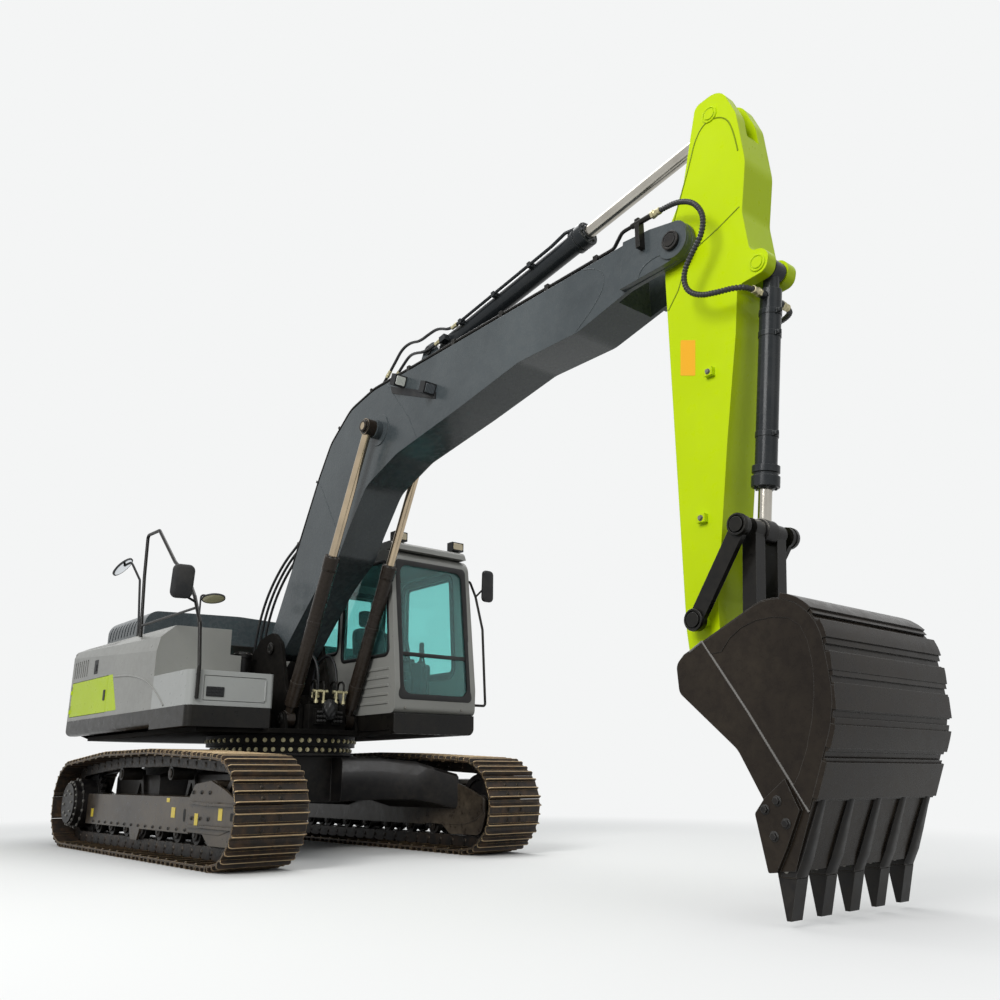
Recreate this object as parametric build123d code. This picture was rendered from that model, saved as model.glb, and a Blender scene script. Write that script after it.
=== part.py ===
from build123d import *
import math
import os

# Crawler excavator, standing as it parks. Millimetres, X forward, Y to its left, Z up.
# The origin is on the ground under the slewing axis.

# driving sizes of the undercarriage
gauge = 2380.0
shoe_width = 600.0
tumbler_x = 1825.0
pin_radius = 320.0
shoe_count = 49
plate_height = 74.0
grouser_height = 105.0
band_inside = 46.0
rail_inside = -45.0
rail_low = 50.0
rail_high = 92.0
running_gap = 0.3
tumbler_z = pin_radius + grouser_height
rail_face = grouser_height - rail_inside
carrier_x = (-790.0, 450.0)
carrier_pin_z = 815.0
carrier_radius = 58.0
roller_radius = 78.0
roller_x = (-1270.0, -880.0, -480.0, -80.0, 320.0, 720.0, 1110.0)
roller_half_width = 105.0
frame_half_width = 132.0
frame_plate = 20.0
frame_top_z = 520.0
frame_low_z = 235.0
idler_radius = pin_radius + rail_inside - running_gap
sprocket_half_width = 24.0

# driving sizes of the slewing ring and the deck
ring_low_radius = 690.0
ring_high_radius = 730.0
ring_low_z = 890.0
ring_split_z = 960.0
deck_low_z = 1060.0
deck_top_z = 1100.0
ring_bore_radius = 520.0

# driving sizes of the upper structure
side_y = 1355.0
skirt_top_z = 1280.0
skirt_low_z = 1110.0
body_rear_x = -2530.0
bay_half_width = 620.0
right_front_x = 0.0
left_front_x = -470.0
wall = 30.0
seam = 0.3
tail_bulge = 320.0
cab_right_y = 400.0
cab_left_y = 1365.0
cab_rear_x = -400.0
cab_front_x = 1406.0
cab_floor_z = 1250.0
cab_roof_z = 2860.0
cab_wall = 45.0

# driving sizes of the boom, arm and bucket; places are X, Z
boom_foot = (158.0, 1917.0)
arm_pin = (5458.0, 4028.0)
boom_half_width = 202.5
boom_cylinder_y = 318.0
boom_rod_eye_half = 44.0
boom_cylinder_base = (700.0, 1200.0)
boom_cylinder_eye = (1920.0, 3760.0)
arm_cylinder_base = (2550.0, 4370.0)
arm_cylinder_eye = (5750.0, 4890.0)
arm_half_width = 150.0
bucket_cylinder_base = (6004.0, 3660.0)
link_pin = (5790.0, 2040.0)
guide_pin = (5440.0, 1540.0)
bucket_pin = (5440.0, 1120.0)
bucket_link_pin = (5740.0, 1440.0)
bucket_half_width = 570.0
pin_size = 45.0
neck_length = 62.0
# how far each rod reaches into its barrel at rest: farther than it comes out, and clear of the bore's end drawn in
boom_rod_inside = 590.0
arm_rod_inside = 560.0
bucket_rod_inside = 1140.0
side_gap = 8.0

# driving sizes of the pipes and hoses
pipe_radius = 14.0
hose_radius = 14.0
guarded_hose_radius = 19.0
pipe_lift = 46.0
outer_pipe_y = 165.0
upper_pipe_y = -115.0
lower_pipe_y = -65.0
nose_port_y = 285.0


def outline(corners):
    """A closed face on XY from rows of x, y, corner radius."""
    count = len(corners)
    starts = []
    edges = []
    for index in range(count):
        x, y, radius = corners[index]
        before = corners[index - 1]
        after = corners[(index + 1) % count]
        to_before = Vector(before[0] - x, before[1] - y).normalized()
        to_after = Vector(after[0] - x, after[1] - y).normalized()
        corner = Vector(x, y)
        if radius <= 0:
            starts.append((corner, corner))
            continue
        half = math.acos(max(-1.0, min(1.0, to_before.dot(to_after)))) / 2
        reach = radius / math.tan(half)
        toward = (to_before + to_after).normalized()
        middle = corner + toward * (radius / math.sin(half) - radius)
        first = corner + to_before * reach
        last = corner + to_after * reach
        edges.append(ThreePointArc(first, middle, last))
        starts.append((first, last))
    for index in range(count):
        leave = starts[index][1]
        arrive = starts[(index + 1) % count][0]
        if (arrive - leave).length > 0.001:
            edges.append(Line(leave, arrive))
    return make_face(edges)


def inset(corners, distances):
    """The same corners with each edge moved inwards by its own distance."""
    count = len(corners)
    area = 0.0
    for index in range(count):
        x0, y0, _ = corners[index]
        x1, y1, _ = corners[(index + 1) % count]
        area += x0 * y1 - x1 * y0
    sign = 1.0 if area > 0 else -1.0
    lines = []
    for index in range(count):
        x0, y0, _ = corners[index]
        x1, y1, _ = corners[(index + 1) % count]
        length = math.hypot(x1 - x0, y1 - y0)
        normal = (-(y1 - y0) / length * sign, (x1 - x0) / length * sign)
        offset = distances[index]
        lines.append((x0 + normal[0] * offset, y0 + normal[1] * offset, x1 - x0, y1 - y0))
    moved = []
    for index in range(count):
        px, py, ux, uy = lines[index - 1]
        qx, qy, vx, vy = lines[index]
        cross = ux * vy - uy * vx
        along = ((qx - px) * vy - (qy - py) * vx) / cross
        shrink = max(distances[index - 1], distances[index])
        radius = max(corners[index][2] - shrink, 0.0)
        moved.append((px + ux * along, py + uy * along, radius))
    return moved


def side_plate(corners, y_low, y_high):
    """An XZ outline carried along Y."""
    return Plane.XZ.offset(-y_high) * extrude(outline(corners), y_high - y_low, dir=(0, 0, 1))


def flat_plate(corners, z_low, z_high):
    """An XY outline carried upwards."""
    return Pos(0, 0, z_low) * extrude(outline(corners), z_high - z_low, dir=(0, 0, 1))


def long_section(corners, x_low, x_high):
    """A YZ outline carried along X."""
    return Plane.YZ.offset(x_low) * extrude(outline(corners), x_high - x_low, dir=(0, 0, 1))


def block(x_low, x_high, y_low, y_high, z_low, z_high):
    centre = Pos((x_low + x_high) / 2, (y_low + y_high) / 2, (z_low + z_high) / 2)
    return centre * Box(x_high - x_low, y_high - y_low, z_high - z_low)


def pin(place, radius, y_low, y_high):
    """A round bar along Y at an X, Z place."""
    middle = Pos(place[0], (y_low + y_high) / 2, place[1])
    return middle * Rot(90, 0, 0) * Cylinder(radius, y_high - y_low)


def bar(start, end, radius):
    """A round bar between two points in space."""
    run = Vector(*end) - Vector(*start)
    plane = Plane(origin=Vector(*start), z_dir=run)
    return plane * extrude(Circle(radius), run.length)


def bent_tube(points, radius, bend):
    """A round tube through points, with arcs at its corners."""
    path = FilletPolyline(*points, radius=bend)
    start = Plane(origin=path @ 0, z_dir=path % 0)
    return sweep(start * Circle(radius), path=path)


def hose(points, radius):
    """A round hose: straight runs joined by the largest arcs that they have room for."""
    bends = []
    for index in range(1, len(points) - 1):
        before = Vector(*points[index]) - Vector(*points[index - 1])
        after = Vector(*points[index + 1]) - Vector(*points[index])
        half_turn = math.radians(before.get_angle(after) / 2)
        bends.append(0.45 * min(before.length, after.length) / math.tan(half_turn))
    print("hose bends in diameters:", [round(bend / radius / 2, 1) for bend in bends])
    path = FilletPolyline(*points, radius=bends)
    start = Plane(origin=path @ 0, z_dir=path % 0)
    return sweep(start * Circle(radius), path=path)


def mirror_left(shape):
    return mirror(shape, about=Plane.XZ)


def between(start, end, share):
    return (start[0] + (end[0] - start[0]) * share, start[1] + (end[1] - start[1]) * share)


def along(start, end, distance):
    length = math.hypot(end[0] - start[0], end[1] - start[1])
    return between(start, end, distance / length)


parts = {}


def touch_point(centre, radius, outside, side):
    """Where a line from an outside point touches a circle, on its upper or lower side."""
    dx = outside[0] - centre[0]
    dz = outside[1] - centre[1]
    distance = math.hypot(dx, dz)
    angle = math.atan2(dz, dx) + side * math.acos(radius / distance)
    return (centre[0] + radius * math.cos(angle), centre[1] + radius * math.sin(angle)), angle


# the loop of the pins: round the idler, over the carriers and round the sprocket
rear_touch, rear_angle = touch_point((-tumbler_x, tumbler_z), pin_radius, (carrier_x[0], carrier_pin_z), 1)
front_touch, front_angle = touch_point((tumbler_x, tumbler_z), pin_radius, (carrier_x[1], carrier_pin_z), -1)
loop_runs = (
    ("line", (-tumbler_x, grouser_height), (tumbler_x, grouser_height)),
    ("arc", (tumbler_x, tumbler_z), -math.pi / 2, front_angle),
    ("line", front_touch, (carrier_x[1], carrier_pin_z)),
    ("line", (carrier_x[1], carrier_pin_z), (carrier_x[0], carrier_pin_z)),
    ("line", (carrier_x[0], carrier_pin_z), rear_touch),
    ("arc", (-tumbler_x, tumbler_z), rear_angle, 1.5 * math.pi),
)


def run_length(run):
    if run[0] == "line":
        return math.dist(run[1], run[2])
    return pin_radius * (run[3] - run[2])


def loop_place(distance):
    """The point of the pin loop at a distance from its start."""
    for run in loop_runs:
        length = run_length(run)
        if distance <= length:
            break
        distance -= length
    share = min(distance / length, 1.0)
    if run[0] == "line":
        return between(run[1], run[2], share)
    angle = run[2] + (run[3] - run[2]) * share
    return (run[1][0] + pin_radius * math.cos(angle), run[1][1] + pin_radius * math.sin(angle))


def loop_ring(height):
    """The smooth loop at a height outside the pins, as a face."""
    def side(point, towards):
        dx = towards[0] - point[0]
        dz = towards[1] - point[1]
        length = math.hypot(dx, dz)
        return (point[0] + dz / length * height, point[1] - dx / length * height)

    radius = pin_radius + height
    reach = 2 * radius
    front_run = (side(front_touch, (carrier_x[1], carrier_pin_z)),
                 side((carrier_x[1], carrier_pin_z),
                      (2 * carrier_x[1] - front_touch[0], 2 * carrier_pin_z - front_touch[1])))
    rear_run = (side((carrier_x[0], carrier_pin_z), rear_touch),
                side(rear_touch, (2 * rear_touch[0] - carrier_x[0], 2 * rear_touch[1] - carrier_pin_z)))
    top = carrier_pin_z + height
    slope = (front_run[1][1] - front_run[0][1]) / (front_run[1][0] - front_run[0][0])
    front_top = (front_run[0][0] + (top - front_run[0][1]) / slope, top)
    slope = (rear_run[1][1] - rear_run[0][1]) / (rear_run[1][0] - rear_run[0][0])
    rear_top = (rear_run[0][0] + (top - rear_run[0][1]) / slope, top)
    middle = (tumbler_x + radius, tumbler_z)
    edges = [
        Line((-tumbler_x, grouser_height - height), (tumbler_x, grouser_height - height)),
        ThreePointArc((tumbler_x, grouser_height - height), middle, front_run[0]),
        Line(front_run[0], front_top),
        Line(front_top, rear_top),
        Line(rear_top, rear_run[1]),
        ThreePointArc(rear_run[1], (-tumbler_x - radius, tumbler_z), (-tumbler_x, grouser_height - height)),
    ]
    return make_face(edges)


def shoe_outline():
    """Three grousers on each shoe, as one closed outline round the whole loop."""
    # share of the pitch along the shoe, height over the pins
    shoe = (
        (0.00, plate_height), (0.04, grouser_height), (0.10, grouser_height), (0.14, plate_height),
        (0.45, plate_height), (0.48, grouser_height), (0.54, grouser_height), (0.57, plate_height),
        (0.86, plate_height), (0.90, grouser_height), (0.96, grouser_height),
    )
    total = sum(run_length(run) for run in loop_runs)
    pins = [loop_place(total * index / shoe_count) for index in range(shoe_count)]
    points = []
    for index in range(shoe_count):
        start = pins[index]
        end = pins[(index + 1) % shoe_count]
        length = math.dist(start, end)
        tx = (end[0] - start[0]) / length
        tz = (end[1] - start[1]) / length
        for share, height in shoe:
            points.append((start[0] + tx * length * share + tz * height,
                           start[1] + tz * length * share - tx * height))
    return make_face(Polyline(*points, close=True))


def carry_along_y(face, y_low, y_high):
    return Plane.XZ.offset(-y_high) * extrude(face, y_high - y_low, dir=(0, 0, 1))


centre_y = gauge / 2
shoe_band = carry_along_y(shoe_outline() - loop_ring(band_inside),
                          centre_y - shoe_width / 2, centre_y + shoe_width / 2)
rail_face_ring = loop_ring(band_inside) - loop_ring(rail_inside)
rails = [carry_along_y(rail_face_ring, centre_y + low, centre_y + high)
         for low, high in ((-rail_high, -rail_low), (rail_low, rail_high))]
track = shoe_band + rails[0] + rails[1]
parts["track_left"] = track
parts["track_right"] = mirror_left(track)

# side frame: an open-bottomed box with the idler's yoke in front
frame_rear_x = -1580.0
yoke_front_x = 1940.0
yoke_rows = ((1000, 250, 0), (1300, 240, 30), (1420, 160, 60), (1880, 165, 90), (yoke_front_x, 330, 60),
             (yoke_front_x, 510, 50), (1000, 510, 0))
guard_rows = ((-330, frame_low_z + 1, 0), (-280, 135, 25), (-120, 135, 25), (-70, frame_low_z + 1, 0))
yoke_rib = (1040.0, 1600.0)
yoke_rib_z = (285.0, 465.0)
rib_depth = 26.0
frame_box = block(frame_rear_x, 1020, centre_y - frame_half_width, centre_y + frame_half_width,
                  frame_low_z, frame_top_z)
frame_hollow = block(frame_rear_x - 1, 1021, centre_y - frame_half_width + frame_plate,
                     centre_y + frame_half_width - frame_plate, frame_low_z - 1, frame_top_z - frame_plate)
frame = frame_box - frame_hollow
frame -= block(frame_rear_x - 1, -tumbler_x + pin_radius + 75, centre_y - 60, centre_y + 60, frame_low_z,
               frame_top_z + 1)
for side in (-1, 1):
    low = centre_y + side * (frame_half_width - frame_plate / 2) - frame_plate / 2
    frame += side_plate(yoke_rows, low, low + frame_plate)
frame += block(1020, 1230, centre_y - frame_half_width, centre_y + frame_half_width, 470, 510)
motor_plate = side_plate(((frame_rear_x, frame_low_z, 0), (frame_rear_x, frame_top_z, 0), (-1900, 590, 80),
                          (-2030, 420, 120),
                          (-1900, 250, 80)), centre_y - frame_half_width, centre_y - frame_half_width + frame_plate)
frame += motor_plate
frame_outer_y = centre_y + frame_half_width
frame += side_plate(guard_rows, frame_outer_y - frame_plate, frame_outer_y)
for z in yoke_rib_z:
    frame += block(yoke_rib[0], yoke_rib[1], frame_outer_y - 1, frame_outer_y + rib_depth, z, z + 22)
parts["side_frames"] = Compound(children=[frame, mirror_left(frame)])

# final drive: motor hub on the inner plate, toothed sprocket between the rails and the outer cover
teeth = 23
sprocket_root = pin_radius - 30
sprocket_tip = pin_radius + 22
tooth_points = []
for index in range(teeth):
    for share, radius in ((-0.32, sprocket_root), (-0.14, sprocket_tip), (0.14, sprocket_tip), (0.32, sprocket_root)):
        angle = 2 * math.pi * (index + share) / teeth
        tooth_points.append((-tumbler_x + radius * math.cos(angle), tumbler_z + radius * math.sin(angle)))
sprocket = carry_along_y(make_face(Polyline(*tooth_points, close=True)),
                         centre_y - sprocket_half_width, centre_y + sprocket_half_width)
drive_place = (-tumbler_x, tumbler_z)
drive = sprocket
drive += pin(drive_place, 215, centre_y - frame_half_width + frame_plate, centre_y - sprocket_half_width)
# steps of the outer housing: radius, how far it reaches from the track's centre
for radius, reach in ((240, 175), (222, 235), (195, 258)):
    drive += pin(drive_place, radius, centre_y + sprocket_half_width, centre_y + reach)
parts["final_drives"] = Compound(children=[drive, mirror_left(drive)])

# idler: a wheel with a guide flange between the rails, its shaft ends in the yoke
idler_place = (tumbler_x, tumbler_z)
idler = pin(idler_place, idler_radius, centre_y - 95, centre_y + 95)
idler += pin(idler_place, idler_radius + 22, centre_y - 40, centre_y + 40)
for side in (-1, 1):
    idler -= pin(idler_place, idler_radius - 45, centre_y + side * 95 - 30, centre_y + side * 95 + 30)
    idler += pin(idler_place, 90, centre_y + min(side * 65, side * 105), centre_y + max(side * 65, side * 105))
idler += pin(idler_place, 50, centre_y - frame_half_width + frame_plate + running_gap,
             centre_y + frame_half_width - frame_plate - running_gap)
parts["idlers"] = Compound(children=[idler, mirror_left(idler)])

# rollers under the frame, and carriers on their two-legged stands above it
roller_z = rail_face + running_gap + roller_radius
rollers = []
for x in roller_x:
    place = (x, roller_z)
    roller = pin(place, roller_radius, centre_y - roller_half_width + 10, centre_y + roller_half_width - 10)
    groove = pin(place, roller_radius + 1, centre_y - 42, centre_y + 42)
    roller -= groove - pin(place, roller_radius - 22, centre_y - 43, centre_y + 43)
    roller += pin(place, 32, centre_y - frame_half_width + frame_plate + running_gap,
                  centre_y + frame_half_width - frame_plate - running_gap)
    rollers.append(roller.solid())
carrier_z = carrier_pin_z + rail_inside - running_gap - carrier_radius
for x in carrier_x:
    place = (x, carrier_z)
    carrier = pin(place, carrier_radius, centre_y - 95, centre_y + 95)
    carrier += pin(place, 28, centre_y - 128, centre_y + 95)
    stand = side_plate(((x - 110, frame_top_z, 0), (x - 35, carrier_z + 40, 20), (x + 35, carrier_z + 40, 20),
                        (x + 110, frame_top_z, 0), (x + 70, frame_top_z, 0), (x, carrier_z - 60, 20),
                        (x - 70, frame_top_z, 0)), centre_y - 128, centre_y - 100)
    rollers.append((carrier + stand).solid())
parts["rollers"] = Compound(children=rollers + [mirror_left(piece) for piece in rollers])

# centre frame: a drum under the ring and four legs out to the side frames
frame_inner_y = centre_y - frame_half_width
centre_low_z = 440.0
box_half_x = 560.0
box_half_y = 620.0
box_corner = 240.0
flange_thickness = 20.0
centre_box_top_z = ring_low_z - flange_thickness
centre_box_rows = ((box_half_x, box_half_y - box_corner, 0), (box_half_x - box_corner, box_half_y, 0),
                   (box_corner - box_half_x, box_half_y, 0), (-box_half_x, box_half_y - box_corner, 0),
                   (-box_half_x, box_corner - box_half_y, 0), (box_corner - box_half_x, -box_half_y, 0),
                   (box_half_x - box_corner, -box_half_y, 0), (box_half_x, box_corner - box_half_y, 0))
centre_frame = flat_plate(centre_box_rows, centre_low_z, centre_box_top_z)
leg_root = ((60, 450), (760, 450), (760, 850), (60, 850))
leg_end = ((380, 385), (1540, 385), (1540, 700), (380, 700))
for side_x in (-1, 1):
    sections = []
    for y, corners in ((260.0, leg_root), (frame_inner_y, leg_end)):
        rows = [(x * side_x, z, 0) for x, z in corners]
        sections.append(Plane.XZ.offset(-y) * outline(rows))
    leg = loft(sections, ruled=True)
    centre_frame += leg
    centre_frame += mirror_left(leg)
centre_frame += Pos(0, 0, ring_low_z - flange_thickness / 2) * Cylinder(ring_low_radius + 30, flange_thickness)
parts["centre_frame"] = centre_frame

ring = Pos(0, 0, (ring_low_z + ring_split_z) / 2) * Cylinder(ring_low_radius, ring_split_z - ring_low_z)
ring -= Pos(0, 0, ring_low_z) * Cylinder(ring_bore_radius, 500)
parts["slew_ring_lower"] = ring
ring = Pos(0, 0, (ring_split_z + running_gap + deck_low_z) / 2) * Cylinder(
    ring_high_radius, deck_low_z - ring_split_z - running_gap)
ring -= Pos(0, 0, deck_low_z) * Cylinder(ring_bore_radius, 500)
parts["slew_ring_upper"] = ring

# revolving frame: deck, boom brackets and the boom cylinders' lugs
deck_half_width = 1240.0
deck_nose_x = 1340.0
deck = block(-2100, 800, -deck_half_width, deck_half_width, deck_low_z, deck_top_z)
deck += block(800, 930, -620, 300, deck_low_z, deck_top_z)
deck += block(800, deck_nose_x, cab_right_y + 20, deck_half_width, deck_low_z, deck_top_z)
bracket_inner_y = boom_half_width + side_gap
bracket_outer_y = bracket_inner_y + 40
base_x, base_z = boom_cylinder_base
bracket_rows = ((-900, deck_top_z, 0), (-900, 1420, 60), (-100, 2040, 150), (boom_foot[0], 2080, 120),
                (330, 1960, 100), (500, 1480, 150), (base_x + 90, base_z + 110, 60), (base_x + 90, deck_top_z, 0))
upper_frame = deck
for side in (-1, 1):
    low = bracket_inner_y if side > 0 else -bracket_outer_y
    upper_frame += side_plate(bracket_rows, low, low + 40)
    lug_low = 366 if side > 0 else -392
    lug = side_plate(((base_x - 110, deck_top_z, 0), (base_x - 60, base_z + 60, 50), (base_x + 60, base_z + 60, 50),
                      (base_x + 110, deck_top_z, 0)), lug_low, lug_low + 26)
    upper_frame += lug
upper_frame += pin(boom_foot, pin_size, -bracket_outer_y - 20, bracket_outer_y + 20)
for side in (-1, 1):
    upper_frame += pin(boom_cylinder_base, pin_size - 5, side * boom_cylinder_y - 74, side * boom_cylinder_y + 74)

# valve block between the boom cylinders, with the tees that its hoses stand in
valve_y = (-150.0, -70.0, 50.0, 130.0)
valve_x = 800.0
valve_top_z = 1330.0
tee_top_z = 1400.0
tee_radius = 17.0
return_x = 330.0
return_z = 1420.0
upper_frame += block(690, 880, -195, 195, deck_top_z - 1, valve_top_z)
upper_frame += block(880, 925, -150, -40, 1150, 1290)
upper_frame += block(880, 925, 30, 140, 1150, 1290)
upper_frame += block(return_x - 60, return_x - hose_radius, -195, 195, deck_top_z - 1, return_z + 40)
for y in valve_y:
    upper_frame += bar((valve_x, y, valve_top_z - 1), (valve_x, y, tee_top_z), tee_radius)
    upper_frame += bar((valve_x, y, tee_top_z - 24), (valve_x + 48, y, tee_top_z - 24), tee_radius - 3)

# fitting block behind the boom's foot, which the foot hoses leave upwards
foot_hose_x = -430.0
foot_block_top_z = 1560.0
upper_frame += block(foot_hose_x - 55, foot_hose_x + 55, -bracket_inner_y - 1, bracket_inner_y + 1, deck_top_z - 1,
                     foot_block_top_z)
parts["upper_frame"] = upper_frame

# counterweight: thick casting round the tail
inner_x = -2360.0
side_x = body_rear_x - seam
tail_corner_y = side_y - 10
nose_y = bay_half_width - 10
weight_face = make_face([
    Line((side_x, tail_corner_y), (side_x, nose_y)),
    Line((side_x, nose_y), (inner_x, nose_y)),
    Line((inner_x, nose_y), (inner_x, -nose_y)),
    Line((inner_x, -nose_y), (side_x, -nose_y)),
    Line((side_x, -nose_y), (side_x, -tail_corner_y)),
    ThreePointArc((side_x, -tail_corner_y), (body_rear_x - tail_bulge, 0), (side_x, tail_corner_y)),
])
weight_low_z = 1075.0
weight_top_z = 2085.0
counterweight = Pos(0, 0, weight_low_z) * extrude(weight_face, weight_top_z - weight_low_z, dir=(0, 0, 1))
tail_edges = counterweight.edges().filter_by(GeomType.CIRCLE).sort_by(Axis.Z)
counterweight = chamfer(tail_edges[0], tail_bulge * 0.375)
tail_edges = counterweight.edges().filter_by(GeomType.CIRCLE).sort_by(Axis.Z)
counterweight = fillet(tail_edges[-1], 70)
lifting_eye_y = 500.0
lifting_eye_x = body_rear_x - 110.0
lifting_eye_depth = 100.0
for side in (-1, 1):
    eye_place = Pos(lifting_eye_x, side * lifting_eye_y, weight_top_z - lifting_eye_depth / 2)
    counterweight -= eye_place * Cylinder(24, lifting_eye_depth)
parts["counterweight"] = counterweight

# the engine's houses: rear and front sections of a folded skin, rows of y, z
front_section = ((-side_y, skirt_top_z), (-side_y, 1823), (-1325, 1960), (-1190, 2080), (-bay_half_width, 2090),
                 (-bay_half_width, skirt_top_z))
rear_section = ((-side_y, skirt_top_z), (-side_y, 1985), (-1325, 2055), (-1220, 2105), (-bay_half_width, 2110),
                (-bay_half_width, skirt_top_z))


def house(front_x, rear_x, mirrored):
    share = (front_x - right_front_x) / (body_rear_x - right_front_x)
    solids = []
    for grow in (0.0, wall):
        faces = []
        for x, blend in ((front_x - grow, share), (rear_x + grow, 1.0)):
            rows = []
            for near, far in zip(front_section, rear_section):
                y = near[0] + (far[0] - near[0]) * blend
                z = near[1] + (far[1] - near[1]) * blend
                rows.append((y, z, 0))
            if grow:
                rows = inset(rows, [grow] * 5 + [-1.0])
            faces.append(Plane.YZ.offset(x) * outline(rows))
        solids.append(loft(faces, ruled=True))
    shell = solids[0] - solids[1]
    return mirror_left(shell) if mirrored else shell


def house_top(x, y):
    """Height of the right house's outer skin over a place that lies over its crease or its top."""
    blend = (x - right_front_x) / (body_rear_x - right_front_x)
    rows = [(near[0] + (far[0] - near[0]) * blend, near[1] + (far[1] - near[1]) * blend)
            for near, far in zip(front_section, rear_section)]
    for (low_y, low_z), (high_y, high_z) in zip(rows, rows[1:]):
        if low_y < high_y and low_y <= y <= high_y:
            return low_z + (high_z - low_z) * (y - low_y) / (high_y - low_y)
    return rows[-1][1]


pump_door_x = (-2480.0, -1290.0)
pump_door_z = (1320.0, 1700.0)
right_house = house(right_front_x, body_rear_x, False)
right_house -= block(pump_door_x[0], pump_door_x[1], -side_y - 1, -side_y + wall + 1, pump_door_z[0], pump_door_z[1])
cheek_inner_y = -500.0
right_house += block(right_front_x - 320, right_front_x, -bay_half_width - 1, cheek_inner_y, skirt_top_z, 1840)
louvre_x = (-2440.0, -2020.0)
louvre_z = (1745.0, 1925.0)
louvre_count = 7
for index in range(louvre_count):
    x = louvre_x[0] + (louvre_x[1] - louvre_x[0]) * index / (louvre_count - 1)
    right_house -= block(x - 15, x + 15, -side_y - 1, -side_y + wall + 1, louvre_z[0], louvre_z[1])
grille_x = (-2360.0, -1380.0)
grille_count = 14
for index in range(grille_count):
    x = grille_x[0] + (grille_x[1] - grille_x[0]) * index / (grille_count - 1)
    right_house -= Pos(x, -1270, 2070) * Rot(0, 0, 25) * Box(26, 86, 150)
parts["right_house"] = right_house
radiator_door_x = (-2440.0, -1330.0)
radiator_door_z = (1320.0, 1800.0)
left_house = house(left_front_x, body_rear_x, True)
left_house -= block(radiator_door_x[0], radiator_door_x[1], side_y - wall - 1, side_y + 1,
                    radiator_door_z[0], radiator_door_z[1])
parts["left_house"] = left_house

# skirts: folded channel with a rounded lower edge, on both sides
skirt_rows = ((-side_y, skirt_top_z - running_gap, 0), (-side_y, skirt_low_z + 10, 60), (-1245, skirt_low_z + 10, 0),
              (-1245, skirt_low_z + 40, 0), (-side_y + wall, skirt_low_z + 60, 30),
              (-side_y + wall, skirt_top_z - running_gap, 0))
right_skirt = long_section(skirt_rows, body_rear_x, right_front_x)
left_skirt = mirror_left(long_section(skirt_rows, body_rear_x, left_front_x))

# engine bay: plain engine block, firewall and the hinged hood over it
bay_front_x = -1200.0
bay_rear_x = -2350.0
engine_half_width = bay_half_width - 60
engine_top_z = 2150.0
parts["engine_block"] = block(bay_rear_x + 150, bay_front_x - 220, -engine_half_width, engine_half_width,
                              deck_top_z, engine_top_z)
bay_wall = block(bay_front_x - 30, bay_front_x, -bay_half_width + 1, bay_half_width - 1, deck_top_z, 2110)
parts["bay_wall"] = bay_wall
hood_low_z = 2110.3
hood_right_y = -1070.0
hood_left_y = 1000.0
hood_rows = ((hood_right_y, hood_low_z, 0), (hood_right_y, 2400, 150), (0, 2440, 1500), (hood_left_y, 2400, 150),
             (hood_left_y, hood_low_z, 0))
hood = long_section(hood_rows, bay_rear_x, bay_front_x)
hood -= long_section(inset(hood_rows, [wall, wall, wall, wall, -1.0]), bay_rear_x + wall, bay_front_x - wall)
hood_slot_count = 9
for index in range(hood_slot_count):
    x = bay_rear_x + 90 + 95 * index
    hood -= Pos(x, hood_right_y, 2250) * Rot(0, 20, 0) * Box(26, 90, 160)
parts["engine_hood"] = hood

# right front box with its door
box_front_x = 832.0
box_inner_y = -540.0
box_top_z = 1585.0
box_rows = ((right_front_x + seam, -side_y, 0), (box_front_x, -side_y, 60), (box_front_x, box_inner_y, 40),
            (right_front_x + seam, box_inner_y, 0))
toolbox = flat_plate(box_rows, skirt_top_z, box_top_z)
toolbox -= flat_plate(inset(box_rows, [wall, wall, wall, wall]), skirt_top_z + wall, box_top_z - wall)
toolbox_door_y = (-1215.0, -625.0)
toolbox_door_z = (1320.0, 1540.0)
toolbox -= block(box_front_x - wall - 1, box_front_x + 1, toolbox_door_y[0], toolbox_door_y[1],
                 toolbox_door_z[0], toolbox_door_z[1])
parts["toolbox"] = toolbox
front_skirt = flat_plate(box_rows, deck_top_z + running_gap, skirt_top_z - running_gap)
parts["skirts"] = Compound(children=[right_skirt, left_skirt, front_skirt])

# doors: flush panels with a seam all round, on knuckle hinges
door_gap = 5.0
knuckle_radius = 10.0
knuckle_length = 45.0


def hang(door_name, carrier_name, axis_x, axis_y, heights):
    """Knuckles of a vertical hinge: the lower half on the door, the upper on what carries it."""
    for z in heights:
        for name, low, other in ((door_name, z, carrier_name), (carrier_name, z + knuckle_length, door_name)):
            middle = Pos(axis_x, axis_y, low + knuckle_length / 2)
            length = knuckle_length - running_gap
            room = middle * Cylinder(knuckle_radius + running_gap, knuckle_length + running_gap)
            parts[other] = parts[other] - room
            parts[name] = parts[name] + middle * Cylinder(knuckle_radius, length)


parts["toolbox_door"] = block(box_front_x - wall, box_front_x - 2, toolbox_door_y[0] + door_gap,
                              toolbox_door_y[1] - door_gap, toolbox_door_z[0] + door_gap,
                              toolbox_door_z[1] - door_gap)
parts["pump_door"] = block(pump_door_x[0] + door_gap, pump_door_x[1] - door_gap, -side_y, -side_y + wall - 4,
                           pump_door_z[0] + door_gap, pump_door_z[1] - door_gap)
parts["radiator_door"] = block(radiator_door_x[0] + door_gap, radiator_door_x[1] - door_gap, side_y - wall + 4,
                               side_y, radiator_door_z[0] + door_gap, radiator_door_z[1] - door_gap)

hang("pump_door", "right_house", pump_door_x[0] + door_gap / 2, -side_y, (1360.0, 1570.0))
hang("radiator_door", "left_house", radiator_door_x[0] + door_gap / 2, side_y, (1360.0, 1650.0))
hang("toolbox_door", "toolbox", box_front_x - 2, toolbox_door_y[1] - door_gap / 2, (1340.0, 1430.0))

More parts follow.
